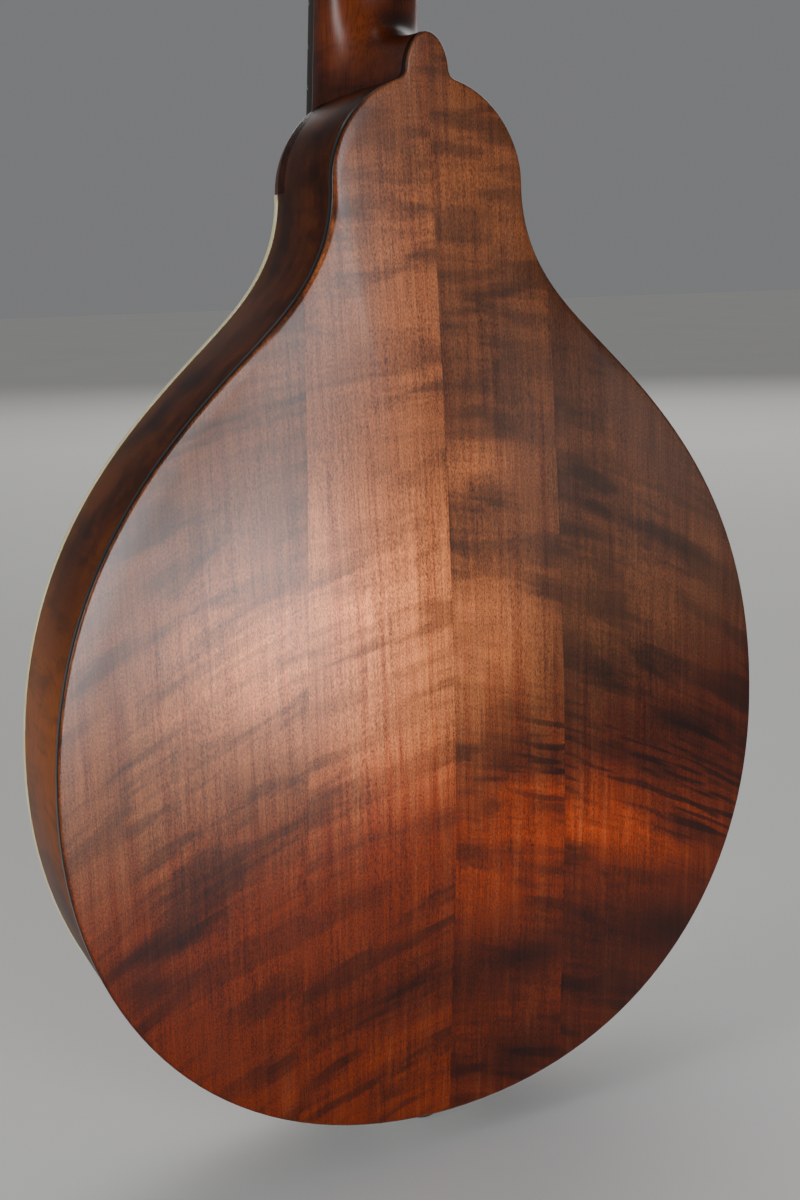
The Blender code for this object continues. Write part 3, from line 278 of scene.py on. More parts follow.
def figured_maple(name, seed, base, clouds, shadows):
    """Stained, flamed maple for one board of the back, amber above and red below. Its stripes fan down from
    the centre seam. Clouds are (x, z, across, along, lean, amount) patches made paler by an amount, partly
    paler stain and partly painted light, and shadows are patches of painted shadow, where a share of the
    light is lost."""
    f = Finish(name, Specular_IOR_Level=0.3)
    width = f.math("ABSOLUTE", f.x)
    lean = f.step(f.z, 310.0, 150.0) * 0.24
    level = f.z + (width * lean + width**2.0 * 0.0014)
    wide = f.noise(f.vector(f.x * 0.02, seed, level * 0.085), roughness=0.55, distortion=0.3)
    streaked = f.step(f.x, 0.0, 40.0) * f.bell(((level - 148.0) * (1 / 21)) ** 2.0)
    fine = f.noise(f.vector(f.x * 0.022, seed + 3.0, level * 0.26), detail=2.0, distortion=0.2)
    drift = f.noise(f.vector(f.x * 0.03, seed + 5.0, level * 0.03), detail=1.0)
    curl = f.math("SINE", (level + drift * 16.0) * (2 * pi / 4.6))
    fine = fine + curl * (streaked * 0.05 + 0.025)
    patches = f.noise(f.vector(f.x * 0.018, seed + 7.0, f.z * 0.02), detail=2.0)

    bright = base
    # Painted light and paler stain: the clouds brighten the board in patches. The shadows below are painted
    # shadows.
    for *patch, amount in clouds:
        bright = bright + f.spot(*patch) * amount
    for *patch, share in shadows:
        bright = bright * (1.0 - f.spot(*patch) * share)
    patchy = f.step(patches, 0.32, 0.6)
    dark = f.step(wide, 0.48, 0.61) * (patchy * 0.36 + 0.26)
    streaks = f.step(fine, 0.5, 0.62) * (streaked * 0.62 + patchy * 0.26)
    pale = f.step(wide, 0.47, 0.3) * (patchy * 0.35 + streaked * 0.5)
    bright = bright * ((1.12 - dark) * (1.08 - streaks))
    bright = bright * (1.0 + pale)
    flecks = f.stretched(0.38, 3.0, 0.9, detail=2.0, roughness=0.75)
    grain = f.stretched(0.6, 3.0, 18.0, detail=2.0)
    bands = f.stretched(2.6, 9.0, 90.0, roughness=0.6)
    speckle = (flecks - 0.5) * -3.2 + (grain - 0.5) * -1.3 + (bands - 0.5) * -1.1
    bright = bright * f.math("MAXIMUM", 1.0 + speckle, 0.25)
    # Painted shade: the plate's edge below its face is darkened to black.
    bright = bright * f.step(f.y, -22.9, -23.75)

    streak = (bands - 0.5) * 1.6
    red = f.math("ADD", f.step(f.z + f.x * -0.2, 172.0, 106.0), streak, clamp=True)
    f.color(f.lit(f.mix(red, (1, 0.285, 0.085), (1, 0.105, 0.002)), bright))
    smudge = f.stretched(18.0, 18.0, 22.0)
    f.rough(0.275 + smudge * 0.08)
    return f.bump(flecks * 0.5 + grain * 0.3, 0.00003, 0.3).material


def stained_maple(name, deep, bright, roughness=0.36, level=0.3, lit_patch=None, shade=None):
    """Plain stained maple: grain along z, slow cloudy stain and a hint of flame. The lit patch is a patch
    of painted light, and the shade a patch of painted shade."""
    f = Finish(name, roughness=roughness, Specular_IOR_Level=level)
    paler = f.step(f.stretched(26.0, 26.0, 34.0, roughness=0.6), 0.35, 0.7)
    if lit_patch:
        # Painted light: a paler patch where light falls on the stain.
        paler = f.math("ADD", paler * 0.35, f.spot(*lit_patch), clamp=True)
    flame = f.stretched(34.0, 30.0, 7.0, roughness=0.6, distortion=0.3)
    color = f.darker(f.mix(paler, deep, bright), f.step(flame, 0.45, 0.68) * 0.4)
    grain = f.stretched(0.5, 0.5, 9.0)
    color = f.darker(color, f.step(grain, 0.42, 0.7) * 0.4)
    if shade:
        # Painted shade: the colour darkens in a patch.
        color = f.darker(color, f.spot(*shade) * 0.85)
    return f.color(color).bump(grain, 0.00004, 0.3).material


def stained_spruce(name):
    """The soundboard: narrow straight grain, amber in the middle and brown at the edges."""
    f = Finish(name, roughness=0.34)
    middle = f.spot(0.0, 170.0, 82.0, 105.0)
    color = f.mix(middle, (0.12, 0.028, 0.008), (0.55, 0.22, 0.055))
    wobble = f.stretched(60.0, 60.0, 160.0, detail=2.0) * 6.0
    lines = f.math("SINE", (f.x + wobble) * 4.2)
    color = f.darker(color, f.step(lines, 0.2, 1.0) * 0.34)
    silk = f.stretched(4.0, 4.0, 1.2, detail=2.0)
    color = f.darker(color, f.step(silk, 0.5, 0.8) * 0.12)
    return f.color(color).bump(lines, 0.00003, 0.4).material


def bare_wood(name):
    f = Finish(name, roughness=0.75)
    grain = f.stretched(0.8, 0.8, 14.0, detail=4.0)
    color = f.mix(f.step(grain, 0.3, 0.75), (0.66, 0.47, 0.28), (0.45, 0.29, 0.15))
    return f.color(color).bump(grain, 0.00008, 0.4).material


def celluloid(name, pale, deep):
    """Cream plastic with faint lengthways streaks, ambered with age."""
    f = Finish(name, roughness=0.3, Subsurface_Weight=0.05)
    clouds = f.stretched(24.0, 24.0, 24.0, detail=2.0)
    streaks = f.stretched(0.7, 0.7, 16.0)
    color = f.darker(f.mix(f.step(clouds, 0.3, 0.7), pale, deep), f.step(streaks, 0.45, 0.75) * 0.14)
    return f.color(color).bump(streaks, 0.00002, 0.3).material


def pearloid(name):
    f = Finish(name, roughness=0.18, Coat_Weight=0.5, Coat_Roughness=0.08)
    cells = f.value("ShaderNodeTexVoronoi", {"Scale": 0.45, "Vector": f.place})
    color = f.mix(f.step(cells, 0.1, 1.1), (0.84, 0.8, 0.68), (0.58, 0.52, 0.4))
    swirl = f.stretched(3.0, 3.0, 3.0, detail=4.0, distortion=1.5)
    return f.color(f.darker(color, f.step(swirl, 0.45, 0.7) * 0.2)).material


def ebony(name):
    f = Finish(name, roughness=0.42)
    grain = f.stretched(0.35, 0.35, 12.0, detail=4.0, roughness=0.6)
    brown = f.stretched(5.0, 5.0, 70.0, detail=2.0)
    color = f.mix(f.step(brown, 0.4, 0.8), (0.011, 0.009, 0.008), (0.034, 0.021, 0.014))
    color = f.darker(color, f.step(grain, 0.4, 0.7) * 0.4)
    return f.color(color).bump(grain, 0.00006, 0.5).material


def gloss_black(name, roughness=0.18):
    f = Finish(name, roughness=roughness, Coat_Weight=0.6, Coat_Roughness=0.1)
    haze = f.stretched(9.0, 9.0, 30.0, detail=4.0)
    f.color(f.mix(haze, (0.008, 0.008, 0.008), (0.02, 0.017, 0.015)))
    return f.rough(roughness + haze * 0.1).material


def bone(name):
    f = Finish(name, roughness=0.32, Subsurface_Weight=0.08)
    veins = f.stretched(4.0, 0.8, 0.8)
    color = f.mix(f.step(veins, 0.4, 0.8), (0.78, 0.72, 0.58), (0.6, 0.52, 0.37))
    return f.color(color).bump(veins, 0.00003, 0.3).material


def metal(name, color, worn, roughness):
    """Plated or plain metal: fine brushing, and cloudy wear that takes it from one tint to the other."""
    f = Finish(name, roughness=roughness, metallic=1.0)
    clouds = f.stretched(7.0, 7.0, 9.0, detail=4.0, roughness=0.6)
    brush = f.stretched(8.0, 8.0, 0.4)
    f.color(f.mix(f.step(clouds, 0.35, 0.75), color, worn))
    f.rough(roughness + (clouds + (brush - 0.5)) * 0.16)
    return f.bump(brush, 0.000015, 0.3).material


def wound_metal(name):
    """Bronze wire wound round a core: fine turns along z."""
    f = Finish(name, roughness=0.32, metallic=1.0)
    turns = f.math("SINE", f.z * (2 * pi / 0.28))
    # Painted shade: the colour darkens in the grooves between the turns.
    f.color(f.mix(f.step(turns, -0.9, 0.9), (0.32, 0.19, 0.08), (0.78, 0.55, 0.29)))
    return f.bump(turns, 0.00006, 0.8).material


# ---------------------------------------------------------------- meshes


def point(x, z):
    """A point of a flat outline, given in millimetres."""
    return Vector((x, z)) * MM


def mm(*pairs):
    """Pairs of metres, given in millimetres."""
    return [(a * MM, b * MM) for a, b in pairs]


def raised(p, y):
    """A point of a flat outline, at a height."""
    return Vector((p.x, y, p.y))


def sweep(total, steps):
    """Evenly spaced angles from 0 to the total, with both ends."""
    return [total * i / steps for i in range(steps + 1)]


def around(count):
    """Evenly spaced angles of a full turn."""
    return sweep(2 * pi, count)[:-1]


def mesh_from(build):
    """The mesh that a function makes with the bmesh it is given, with its faces turned outwards."""
    bm = bmesh.new()
    build(bm)
    bmesh.ops.recalc_face_normals(bm, faces=bm.faces)
    mesh = bpy.data.meshes.new("mesh")
    bm.to_mesh(mesh)
    bm.free()
    return mesh


def linked(name, data):
    """A new object of the scene."""
    obj = bpy.data.objects.new(name, data)
    bpy.context.scene.collection.objects.link(obj)
    return obj


def piece(name, mesh, finish, body=ROOT, replaces=(), place=None, sharp=35, bevel=0.0):
    """A piece of the object: its mesh in the row frame, or placed there by a matrix, with the finish's
    material. With no body it is left without a parent."""
    obj = linked(name, mesh)
    if place:
        mesh.transform(place)
    mesh.materials.clear()
    mesh.materials.append(FINISHES[finish])
    if bevel:
        rounding = obj.modifiers.new("rounding", "BEVEL")
        rounding.width = bevel
        rounding.segments = 2
        rounding.angle_limit = radians(40)
        rounding.harden_normals = True
    mesh.shade_smooth()
    mesh.set_sharp_from_angle(angle=radians(sharp))
    if body:
        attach(obj, body)
    if replaces:
        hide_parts(*replaces)
    return obj


def loft(bm, rings, start=None, end=None):
    """Quads between rings of as many points each. Each end closes on a hub point, or flat."""
    rows = [[bm.verts.new(p) for p in ring] for ring in rings]
    count = len(rings[0])
    for low, high in zip(rows, rows[1:]):
        for i in range(count):
            j = (i + 1) % count
            bm.faces.new((low[i], low[j], high[j], high[i]))
    for row, hub in ((rows[0], start), (rows[-1], end)):
        if hub is None:
            bm.faces.new(row)
            continue
        middle = bm.verts.new(hub)
        for i in range(count):
            bm.faces.new((middle, row[i], row[(i + 1) % count]))


def loft_mesh(rings, **hubs):
    return mesh_from(lambda bm: loft(bm, rings, **hubs))


def joined(*meshes):
    """Several meshes as one."""

    def build(bm):
        for mesh in meshes:
            bm.from_mesh(mesh)

    return mesh_from(build)


def prism_mesh(outline, low, high, bevel=0.0):
    """A flat outline in x and z, made thick from y = low to y = high."""

    def build(bm):
        loft(bm, [[raised(p, y) for p in outline] for y in (low, high)])
        if bevel:
            rim = [e for e in bm.edges if abs(e.verts[0].co.y - e.verts[1].co.y) < 1e-7]
            bmesh.ops.bevel(bm, geom=rim, offset=bevel, segments=2, affect="EDGES", profile=0.5)

    return mesh_from(build)


def box_mesh(low, high):
    size = Vector(high) - Vector(low)
    centre = (Vector(high) + Vector(low)) / 2

    def build(bm):
        bmesh.ops.create_cube(bm, size=1)
        bmesh.ops.scale(bm, vec=size, verts=bm.verts)
        bmesh.ops.translate(bm, vec=centre, verts=bm.verts)

    return mesh_from(build)


def turned_mesh(profile, start=(0, 0, 0), direction=(0, 0, 1), sides=40):
    """A turned shape: (distance along the axis, radius) pairs, spun about a line from start."""
    turn = Vector(direction).to_track_quat("Z", "Y").to_matrix()
    rings = []
    for along, r in profile:
        ring = [turn @ Vector((r * cos(a), r * sin(a), along)) for a in around(sides)]
        rings.append([Vector(start) + p for p in ring])
    return loft_mesh(rings)


def tube_mesh(points, radius, sides=10):
    """A round wire along a path, with flat ends. Its sections don't twist from one point to the next."""
    rings = []
    normal = None
    for i, p in enumerate(points):
        tangent = (points[min(i + 1, len(points) - 1)] - points[max(i - 1, 0)]).normalized()
        if normal is None:
            normal = tangent.orthogonal()
        normal = (normal - tangent * normal.dot(tangent)).normalized()
        other = tangent.cross(normal)
        rings.append([p + (normal * cos(a) + other * sin(a)) * radius for a in around(sides)])
    return loft_mesh(rings)


def cut(mesh, *cutters, operation="DIFFERENCE"):
    """The mesh after exact Booleans with the cutters."""
    obj = linked("cut", mesh)
    tools = [linked("tool", cutter) for cutter in cutters]
    for tool in tools:
        modifier = obj.modifiers.new("cut", "BOOLEAN")
        modifier.operation = operation
        modifier.object = tool
    bpy.context.view_layer.update()
    graph = bpy.context.evaluated_depsgraph_get()
    made = bpy.data.meshes.new_from_object(obj.evaluated_get(graph))
    for used in [obj, *tools]:
        bpy.data.objects.remove(used)
    return made


def sliced(mesh, through, outward):
    """The part of a closed mesh behind a plane through a point, closed again with a flat face."""

    def build(bm):
        bm.from_mesh(mesh)
        geometry = bm.verts[:] + bm.edges[:] + bm.faces[:]
        bmesh.ops.bisect_plane(bm, geom=geometry, plane_co=through, plane_no=outward, clear_outer=True)
        bmesh.ops.edgeloop_fill(bm, edges=[e for e in bm.edges if e.is_boundary])

    return mesh_from(build)


# ---------------------------------------------------------------- body curves


def bezier(ends, handles, steps):
    """Points on a cubic Bezier curve in the plane, without its last one."""
    p0, p1, p2, p3 = ends[0], handles[0], handles[1], ends[1]
    found = []
    for i in range(steps):
        t = i / steps
        s = 1 - t
        found.append(p0 * s**3 + p1 * 3 * s * s * t + p2 * 3 * s * t * t + p3 * t**3)
    return found


def half_outline():
    """The bass half of the body's outline, from the tail to the crown."""
    right, up = Vector((1, 0)), Vector((0, 1))
    along = Vector((cos(WAIST_DIRECTION), sin(WAIST_DIRECTION)))
    tail, crown = Vector((0, TAIL_Z)), Vector((0, CROWN_Z))
    h = OUTLINE_HANDLES
    points = bezier((tail, WIDEST), (tail + right * h[0], WIDEST - up * h[1]), OUTLINE_STEPS[0])
    points += bezier((WIDEST, WAIST), (WIDEST + up * h[2], WAIST - along * h[3]), OUTLINE_STEPS[1])
    points += bezier((WAIST, CHEEK), (WAIST + along * h[4], CHEEK - up * h[5]), OUTLINE_STEPS[2])
    points += bezier((CHEEK, crown), (CHEEK + up * h[6], crown + right * h[7]), OUTLINE_STEPS[3])
    return points + [crown]


HALF = half_outline()
OUTLINE_ANGLES = [atan2(p.y - ARCH_CENTRE.y, p.x - ARCH_CENTRE.x) for p in HALF]
OUTLINE_REACH = [(p - ARCH_CENTRE).length for p in HALF]


def back_outline():
    """The body's half outline with the heel button on its crown, joined by a small fillet."""
    body = [p for p in HALF if p.x > 9.4 * MM or p.y < WAIST.y]
    foot, side, tip = body[-1], point(7.3, 357.2), Vector((0, BUTTON_TOP_Z))
    fillet = bezier((foot, side), (point(8.1, foot.y / MM + 0.35), point(7.45, 355.9)), 6)
    button = bezier((side, tip), (point(6.9, 362.6), point(3.9, 367.6)), 12)
    return body + fillet[1:] + button + [tip]


def inset(points, distance):
    """A half outline drawn inwards. Its ends stay on the centre line."""
    moved = []
    for i, p in enumerate(points):
        tangent = points[min(i + 1, len(points) - 1)] - points[max(i - 1, 0)]
        if i in (0, len(points) - 1):
            tangent = Vector((1 if i == 0 else -1, 0))
        tangent.normalize()
        moved.append(p - Vector((tangent.y, -tangent.x)) * distance)
    return moved


def mirrored(points):
    return [Vector((-p.x, p.y)) for p in points]


def whole(points):
    """A half outline with its mirror image, as one ring."""
    return points + mirrored(points)[-2:0:-1]


def between(points, low, high):
    """The stretch of a half outline between two heights, with its ends exactly there."""
    found = []
    for a, b in zip(points, points[1:]):
        for level in (low, high):
            if (a.y - level) * (b.y - level) < 0:
                found.append(a.lerp(b, (level - a.y) / (b.y - a.y)))
        if low <= b.y <= high:
            found.append(b)
    if low <= points[0].y <= high:
        found.insert(0, points[0])
    return sorted(found, key=lambda p: p.y)


def contour_reach(angle, share, outline_reach):
    """How far off the arch's centre its contour lies: an ellipse near it, and the outline at share 1."""
    c, s = cos(angle), sin(angle)
    ridge = 1 / hypot(c / RIDGE_HALF_WIDTH, s / (RIDGE_TO_NECK if s > 0 else RIDGE_TO_TAIL))
    return share * ((1 - share**6) * ridge + share**6 * outline_reach)


def arch(x, z):
    """The arch's share of its full height at a point: 0 on the outline and 1 at the centre."""
    p = Vector((abs(x), z)) - ARCH_CENTRE
    angle = atan2(p.y, p.x)
    edge = np.interp(angle, OUTLINE_ANGLES, OUTLINE_REACH)
    low, high = 0.0, 1.0
    for _ in range(24):
        middle = (low + high) / 2
        if contour_reach(angle, middle, edge) < p.length:
            low = middle
        else:
            high = middle
    return (1 - low * low) ** ARCH_FULLNESS


def top_y(x, z):
    return EDGE_Y + TOP_ARCH * arch(x, z)


def contour(half, share, rise, outward, drop=0.0):
    """One ring of an arched face, at its height."""
    ring = []
    for p in whole(half):
        spoke = p - ARCH_CENTRE
        reach = contour_reach(atan2(spoke.y, abs(spoke.x)), share, spoke.length)
        at = ARCH_CENTRE + spoke.normalized() * reach
        ring.append(raised(at, outward * (EDGE_Y + rise * arch(at.x, at.y) - drop)))
    return ring


def flat_ring(half, y):
    return [raised(p, y) for p in whole(half)]


def plate_mesh(half, rise, outward, thickness, round_over):
    """A whole arched plate: its face, its rounded edge and its inner face."""
    face = inset(half, round_over)
    rings = [contour(face, share, rise, outward) for share in FACE_SHARES]
    for degrees in (12, 25, 38, 51, 64, 77, 90):
        a = radians(90 - degrees)
        level = EDGE_Y - round_over * (1 - sin(a))
        rings.append(flat_ring(inset(half, round_over * (1 - cos(a))), outward * level))
    softened = 0.25 * MM
    rings.append(flat_ring(half, outward * (EDGE_Y - thickness + softened)))
    inner = inset(half, softened)
    rings.append(flat_ring(inner, outward * (EDGE_Y - thickness)))
    rings += [contour(inner, share, rise, outward, thickness) for share in INNER_SHARES]
    hubs = [Vector((0, outward * (EDGE_Y + rise - drop), ARCH_CENTRE.y)) for drop in (0, thickness)]
    return loft_mesh(rings, start=hubs[0], end=hubs[1])


def beside(seam, side):
    """A point on the plane of a board's edge, and the plane's normal towards side. The plane keeps a hair's
    breadth off the seam."""
    gap = 0.02 * MM
    along = (seam[1] - seam[0]).normalized()
    across = Vector((along.y, 0, -along.x)) * side
    return Vector((seam[0].x, 0, seam[0].y)) - across * gap, across


def make_back():
    """Four boards, sliced from one arched plate along the three seams."""
    whole_plate = plate_mesh(back_outline(), BACK_ARCH, -1, BACK_THICKNESS, BACK_ROUND_OVER)
    boards = (
        ("back_wing_treble", ((TREBLE_SEAM, 1),)),
        ("back_centre_treble", ((TREBLE_SEAM, -1), (CENTRE_SEAM, 1))),
        ("back_centre_bass", ((CENTRE_SEAM, -1), (BASS_SEAM, 1))),
        ("back_wing_bass", ((BASS_SEAM, -1),)),
    )
    for node, cuts in boards:
        mesh = whole_plate
        for seam, side in cuts:
            mesh = sliced(mesh, *beside(seam, side))
        piece(f"{node}_board", mesh, node, replaces=[node], sharp=50)


def band_rings(path, section):
    """Sections along a half outline. The section is pairs of a distance in from it and a height."""
    lines = {distance: inset(path, distance) for distance, _ in section}
    return [[raised(lines[d][i], y) for d, y in section] for i in range(len(path))]


def rounded_section(outer, inner, low, high, radius):
    """A rectangle from depth outer to inner and from y low to high, with its two outer corners rounded."""
    arc = [radians(a) for a in (0, 30, 60, 90)]
    section = [(inner, low)]
    section += [(outer + radius * (1 - sin(a)), low + radius * (1 - cos(a))) for a in arc]
    section += [(outer + radius * (1 - cos(a)), high - radius * (1 - sin(a))) for a in arc]
    return section + [(inner, high)]


def make_rim():
    low, high = -EDGE_Y + BACK_THICKNESS + 0.05 * MM, EDGE_Y - TOP_THICKNESS - 0.05 * MM
    gap = 0.03 * MM
    section = rounded_section(RIB_DEPTH, RIB_DEPTH + RIB_THICKNESS, low, high, 0.35 * MM)
    rings = band_rings(HALF, section)
    for side, word in SIDES:
        half = [[Vector((max(p.x, gap) * side, p.y, p.z)) for p in ring] for ring in rings]
        piece(f"rib_{word}_band", loft_mesh(half), "rib", replaces=[f"rib_{word}"])
    section = rounded_section(0, BINDING_WIDTH, high + 0.05 * MM, EDGE_Y, 0.5 * MM)
    rings = band_rings(between(HALF, 0, SHOULDER_Z - GLUE_LINE), section)
    other = [[Vector((-p.x, p.y, p.z)) for p in ring] for ring in rings[:0:-1]]
    piece("top_binding_strip", loft_mesh(other + rings), "binding", replaces=["top_binding"])


def make_top():
    """Two spruce halves with the oval hole, and the rings inlaid round it."""
    plate = plate_mesh(inset(HALF, BINDING_WIDTH + 0.03 * MM), TOP_ARCH, 1, TOP_THICKNESS, 0.3 * MM)
    plate = sliced(plate, Vector((0, 0, SHOULDER_Z - GLUE_LINE)), Vector((0, 0, 1)))
    plate = cut(plate, prism_mesh(oval(0), 10 * MM, 60 * MM))
    for side, word in SIDES:
        mesh = sliced(plate, *beside(CENTRE_SEAM, -side))
        piece(f"top_{word}_half", mesh, "top", replaces=[f"top_{word}"])
    edges = (2.6, 3.0, 3.8, 6.2, 7.0, 7.4)
    for number, (near, far) in enumerate(zip(edges, edges[1:])):
        finish, slot = ("rosette_black", "black") if number % 2 else ("rosette_pale", "binding")
        piece(f"rosette_ring_{number}", inlay_mesh(near * MM, far * MM), finish)


def oval(grow):
    """The sound hole's outline, made larger by a distance."""
    half = SOUND_HOLE_HALF + Vector((grow, grow))
    return [Vector((half.x * cos(a), SOUND_HOLE_Z + half.y * sin(a))) for a in around(96)]


def inlay_mesh(near, far):
    """A thin oval ring let into the soundboard, a hair proud of it."""
    proud, deep = 0.06 * MM, 0.8 * MM
    rings = []
    for a, b in zip(oval(near), oval(far)):
        corners = ((a, -deep), (a, proud), (b, proud), (b, -deep))
        rings.append([raised(p, top_y(p.x, p.y) + lift) for p, lift in corners])

    def build(bm):
        rows = [[bm.verts.new(p) for p in ring] for ring in rings]
        for i, low in enumerate(rows):
            high = rows[(i + 1) % len(rows)]
            for k in range(4):
                n = (k + 1) % 4
                bm.faces.new((low[k], low[n], high[n], high[k]))

    return mesh_from(build)


# ---------------------------------------------------------------- neck and headstock


NECK = Matrix.Translation(NECK_ORIGIN) @ Matrix.Rotation(NECK_TILT, 4, "X")
HEAD = NECK @ Matrix.Translation((0, 0, NUT_THICKNESS)) @ Matrix.Rotation(HEAD_TILT, 4, "X")


def neck_plane_y(z):
    """The height of the neck's top plane above the body's middle plane."""
    return NECK_ORIGIN.y + (NECK_ORIGIN.z - z) * tan(NECK_TILT)


def neck_half_width(z):
    """Half the neck's width, z metres from the nut in the neck's frame, where the body is at negative z."""
    return NUT_HALF_WIDTH - TAPER * z


def rounder(value, power):
    """A sine or cosine raised to a power, with its sign kept."""
    return copysign(abs(value) ** power, value)


def u_ring(top, bottom, half_width):
    """A U-shaped section: flat from side to side at top, round down to bottom."""
    power = 2 / 2.3
    ring = []
    for a in sweep(pi, 40):
        ring.append(top.lerp(bottom, sin(a) ** power) + Vector((half_width * rounder(cos(a), power), 0, 0)))
    return ring


def neck_rings():
    """Sections of the neck's shaft, perpendicular to it, then sections that fan round into the heel."""
    shaft_end = -106 * MM
    rings = []
    for i in range(14):
        z = NUT_THICKNESS + (shaft_end - NUT_THICKNESS) * i / 13
        depth = NECK_DEPTH - NECK_DEPTH_GROWTH * z
        rings.append(u_ring(NECK @ Vector((0, 0, z)), NECK @ Vector((0, -depth, z)), neck_half_width(z)))
    start = NECK @ Vector((0, -depth, shaft_end))
    end = Vector((0, -EDGE_Y + BACK_THICKNESS + GLUE_LINE, BUTTON_TOP_Z))
    tangent = NECK.to_3x3() @ Vector((0, 0, -20 * MM))
    curve = bezier((start, end), (start + tangent, end + Vector((0, 20 * MM, 0))), 24) + [end]
    root_z = 346 * MM
    shelf = NECK @ Vector((0, 0, shaft_end))
    corner = Vector((0, neck_plane_y(root_z), root_z))
    foot = Vector((0, end.y, root_z))
    turn = 0.4
    cap_half = 7.4 * MM
    for i, low in enumerate(curve[1:], 1):
        t = i / (len(curve) - 1)
        top = shelf.lerp(corner, t / turn) if t < turn else corner.lerp(foot, (t - turn) / (1 - turn))
        wide = neck_half_width(shaft_end - 40 * MM * min(t / turn, 1))
        fall = max(t - turn, 0) / (1 - turn)
        rings.append(u_ring(top, low, cap_half + (wide - cap_half) * (1 - fall) ** 1.4))
    return rings


def shoulder_mesh():
    """The neck's shoulders, which close the body above the soundboard and carry its outline on."""
    edge = between(inset(HALF, RIB_DEPTH), SHOULDER_Z, 1)
    outline = edge + mirrored(edge)[-2::-1]
    round_over = 3.2 * MM
    rings = [[raised(p, 15 * MM) for p in outline]]
    for degrees in (0, 15, 30, 45, 60, 75, 90):
        a = radians(degrees)
        shrink, drop = round_over * (1 - cos(a)), round_over * (1 - sin(a))
        scale = 1 - shrink / (32 * MM)
        ring = []
        for p in outline:
            z = SHOULDER_Z + (p.y - SHOULDER_Z) * scale
            ring.append(Vector((p.x * scale, neck_plane_y(z) - GLUE_LINE - drop, z)))
        rings.append(ring)
    return loft_mesh(rings)


def head_outline():
    """The headstock's outline in its own frame: narrow at the nut, flared, with a shallow crest."""
    root, flare, shoulder, crest = point(15, 0), point(31, 27), point(35.5, 118), point(0, 150)
    half = bezier((root, flare), (point(15.5, 13), point(24, 21)), 14)
    half += bezier((flare, shoulder), (point(37, 33), point(32, 90)), 18)
    half += bezier((shoulder, crest), (point(38, 139), point(17, 143)), 20)
    return half + [crest] + mirrored(half)[::-1]


def make_neck():
    core = prism_mesh(head_outline(), -HEAD_THICKNESS, 0.05 * MM, bevel=0.8 * MM)
    core.transform(HEAD)
    neck = cut(loft_mesh(neck_rings()), shoulder_mesh(), core, operation="UNION")
    piece("neck_wood", neck, "neck", replaces=["neck"], sharp=42)
    veneer = prism_mesh(head_outline(), GLUE_LINE, FACE_Y, bevel=0.35 * MM)
    piece("headstock_face", veneer, "veneer", replaces=["headstock_veneer"], place=HEAD)


def make_rod_cover():
    """The bell-shaped cover over the truss rod's end, and its two screws."""
    waist, tip = point(3.6, 19), point(0, 27)
    half = [point(8, 1.5), point(8.2, 4)]
    half += bezier((point(8.2, 6), waist), (point(8.4, 12), point(4.2, 13)), 8)
    half += bezier((waist, tip), (point(3.2, 24), point(1.4, 25.6)), 6)
    outline = half + [tip] + mirrored(half)[::-1]
    low = FACE_Y + 0.2 * MM
    high = low + 1.6 * MM
    plate = prism_mesh(outline, low, high, bevel=0.45 * MM)
    piece("truss_rod_bell", plate, "black", replaces=["truss_rod_cover"], place=HEAD)
    for number, z in enumerate((4.6 * MM, 21.5 * MM)):
        screw = screw_mesh(Vector((0, high, z)), 1.5 * MM)
        piece(f"truss_rod_cover_screw_{number}", screw, "nickel", place=HEAD)


def screw_mesh(seat, radius, up=1):
    """A round-headed screw with a crossed slot, its head on a seat that faces up or down in y."""
    height = radius * 0.5
    shares = ((0, 1), (0.4, 0.97), (0.8, 0.7), (1, 0.3))
    profile = [(-0.4 * MM, radius * 0.6)] + [(height * rise, radius * share) for rise, share in shares]
    head = turned_mesh(profile, seat, (0, up, 0), 24)
    low, high = sorted((seat.y + up * height * 0.45, seat.y + up * height * 2))
    slots = []
    for wide, long in ((radius * 0.14, radius * 0.62), (radius * 0.62, radius * 0.14)):
        slots.append(box_mesh((seat.x - wide, low, seat.z - long), (seat.x + wide, high, seat.z + long)))
    return cut(head, *slots)


def fret_distance(number):
    return SCALE_LENGTH * (1 - 2 ** (-number / 12))


def fret_mesh(z):
    """One fret: a half-round crown across the board with bevelled ends, and its tang."""
    half_width = neck_half_width(z) + 0.05 * MM
    crown, height, floor = 0.95 * MM, 1.05 * MM, FINGERBOARD_THICKNESS
    shares = ((-1, 0.0), (-0.95, 0.85), (-0.92, 1.0), (0.92, 1.0), (0.95, 0.85), (1, 0.0))
    rings = []
    for share, rise in shares:
        section = [(floor + height * rise * sin(a), z + crown * cos(a)) for a in sweep(pi, 8)]
        section += [(floor - 1 * MM, z - 0.25 * MM), (floor - 1 * MM, z + 0.25 * MM)]
        rings.append([Vector((half_width * share, y, along)) for y, along in section])
    return loft_mesh(rings)


def make_fingerboard():
    end = -(fret_distance(FRETS) + 4 * MM)
    wide, narrow = neck_half_width(end), neck_half_width(0)
    corners = [Vector(corner) for corner in ((-wide, end), (wide, end), (narrow, 0), (-narrow, 0))]
    board = prism_mesh(corners, 0.05 * MM, FINGERBOARD_THICKNESS, bevel=0.4 * MM)
    piece("fingerboard_slab", board, "ebony", replaces=["fingerboard"], place=NECK)
    frets = joined(*[fret_mesh(-fret_distance(number)) for number in range(1, FRETS + 1)])
    piece("frets", frets, "steel", place=NECK)
    dots = []
    profile = mm((-0.5, 2.6), (0, 2.6), (0.06, 2.45))
    for number in (3, 5, 7, 10, 12, 15):
        middle = -(fret_distance(number - 1) + fret_distance(number)) / 2
        for x in (-6 * MM, 6 * MM) if number == 12 else (0,):
            dots.append(turned_mesh(profile, (x, FINGERBOARD_THICKNESS, middle), (0, 1, 0), 32))
    piece("position_dots", joined(*dots), "pearl", place=NECK)


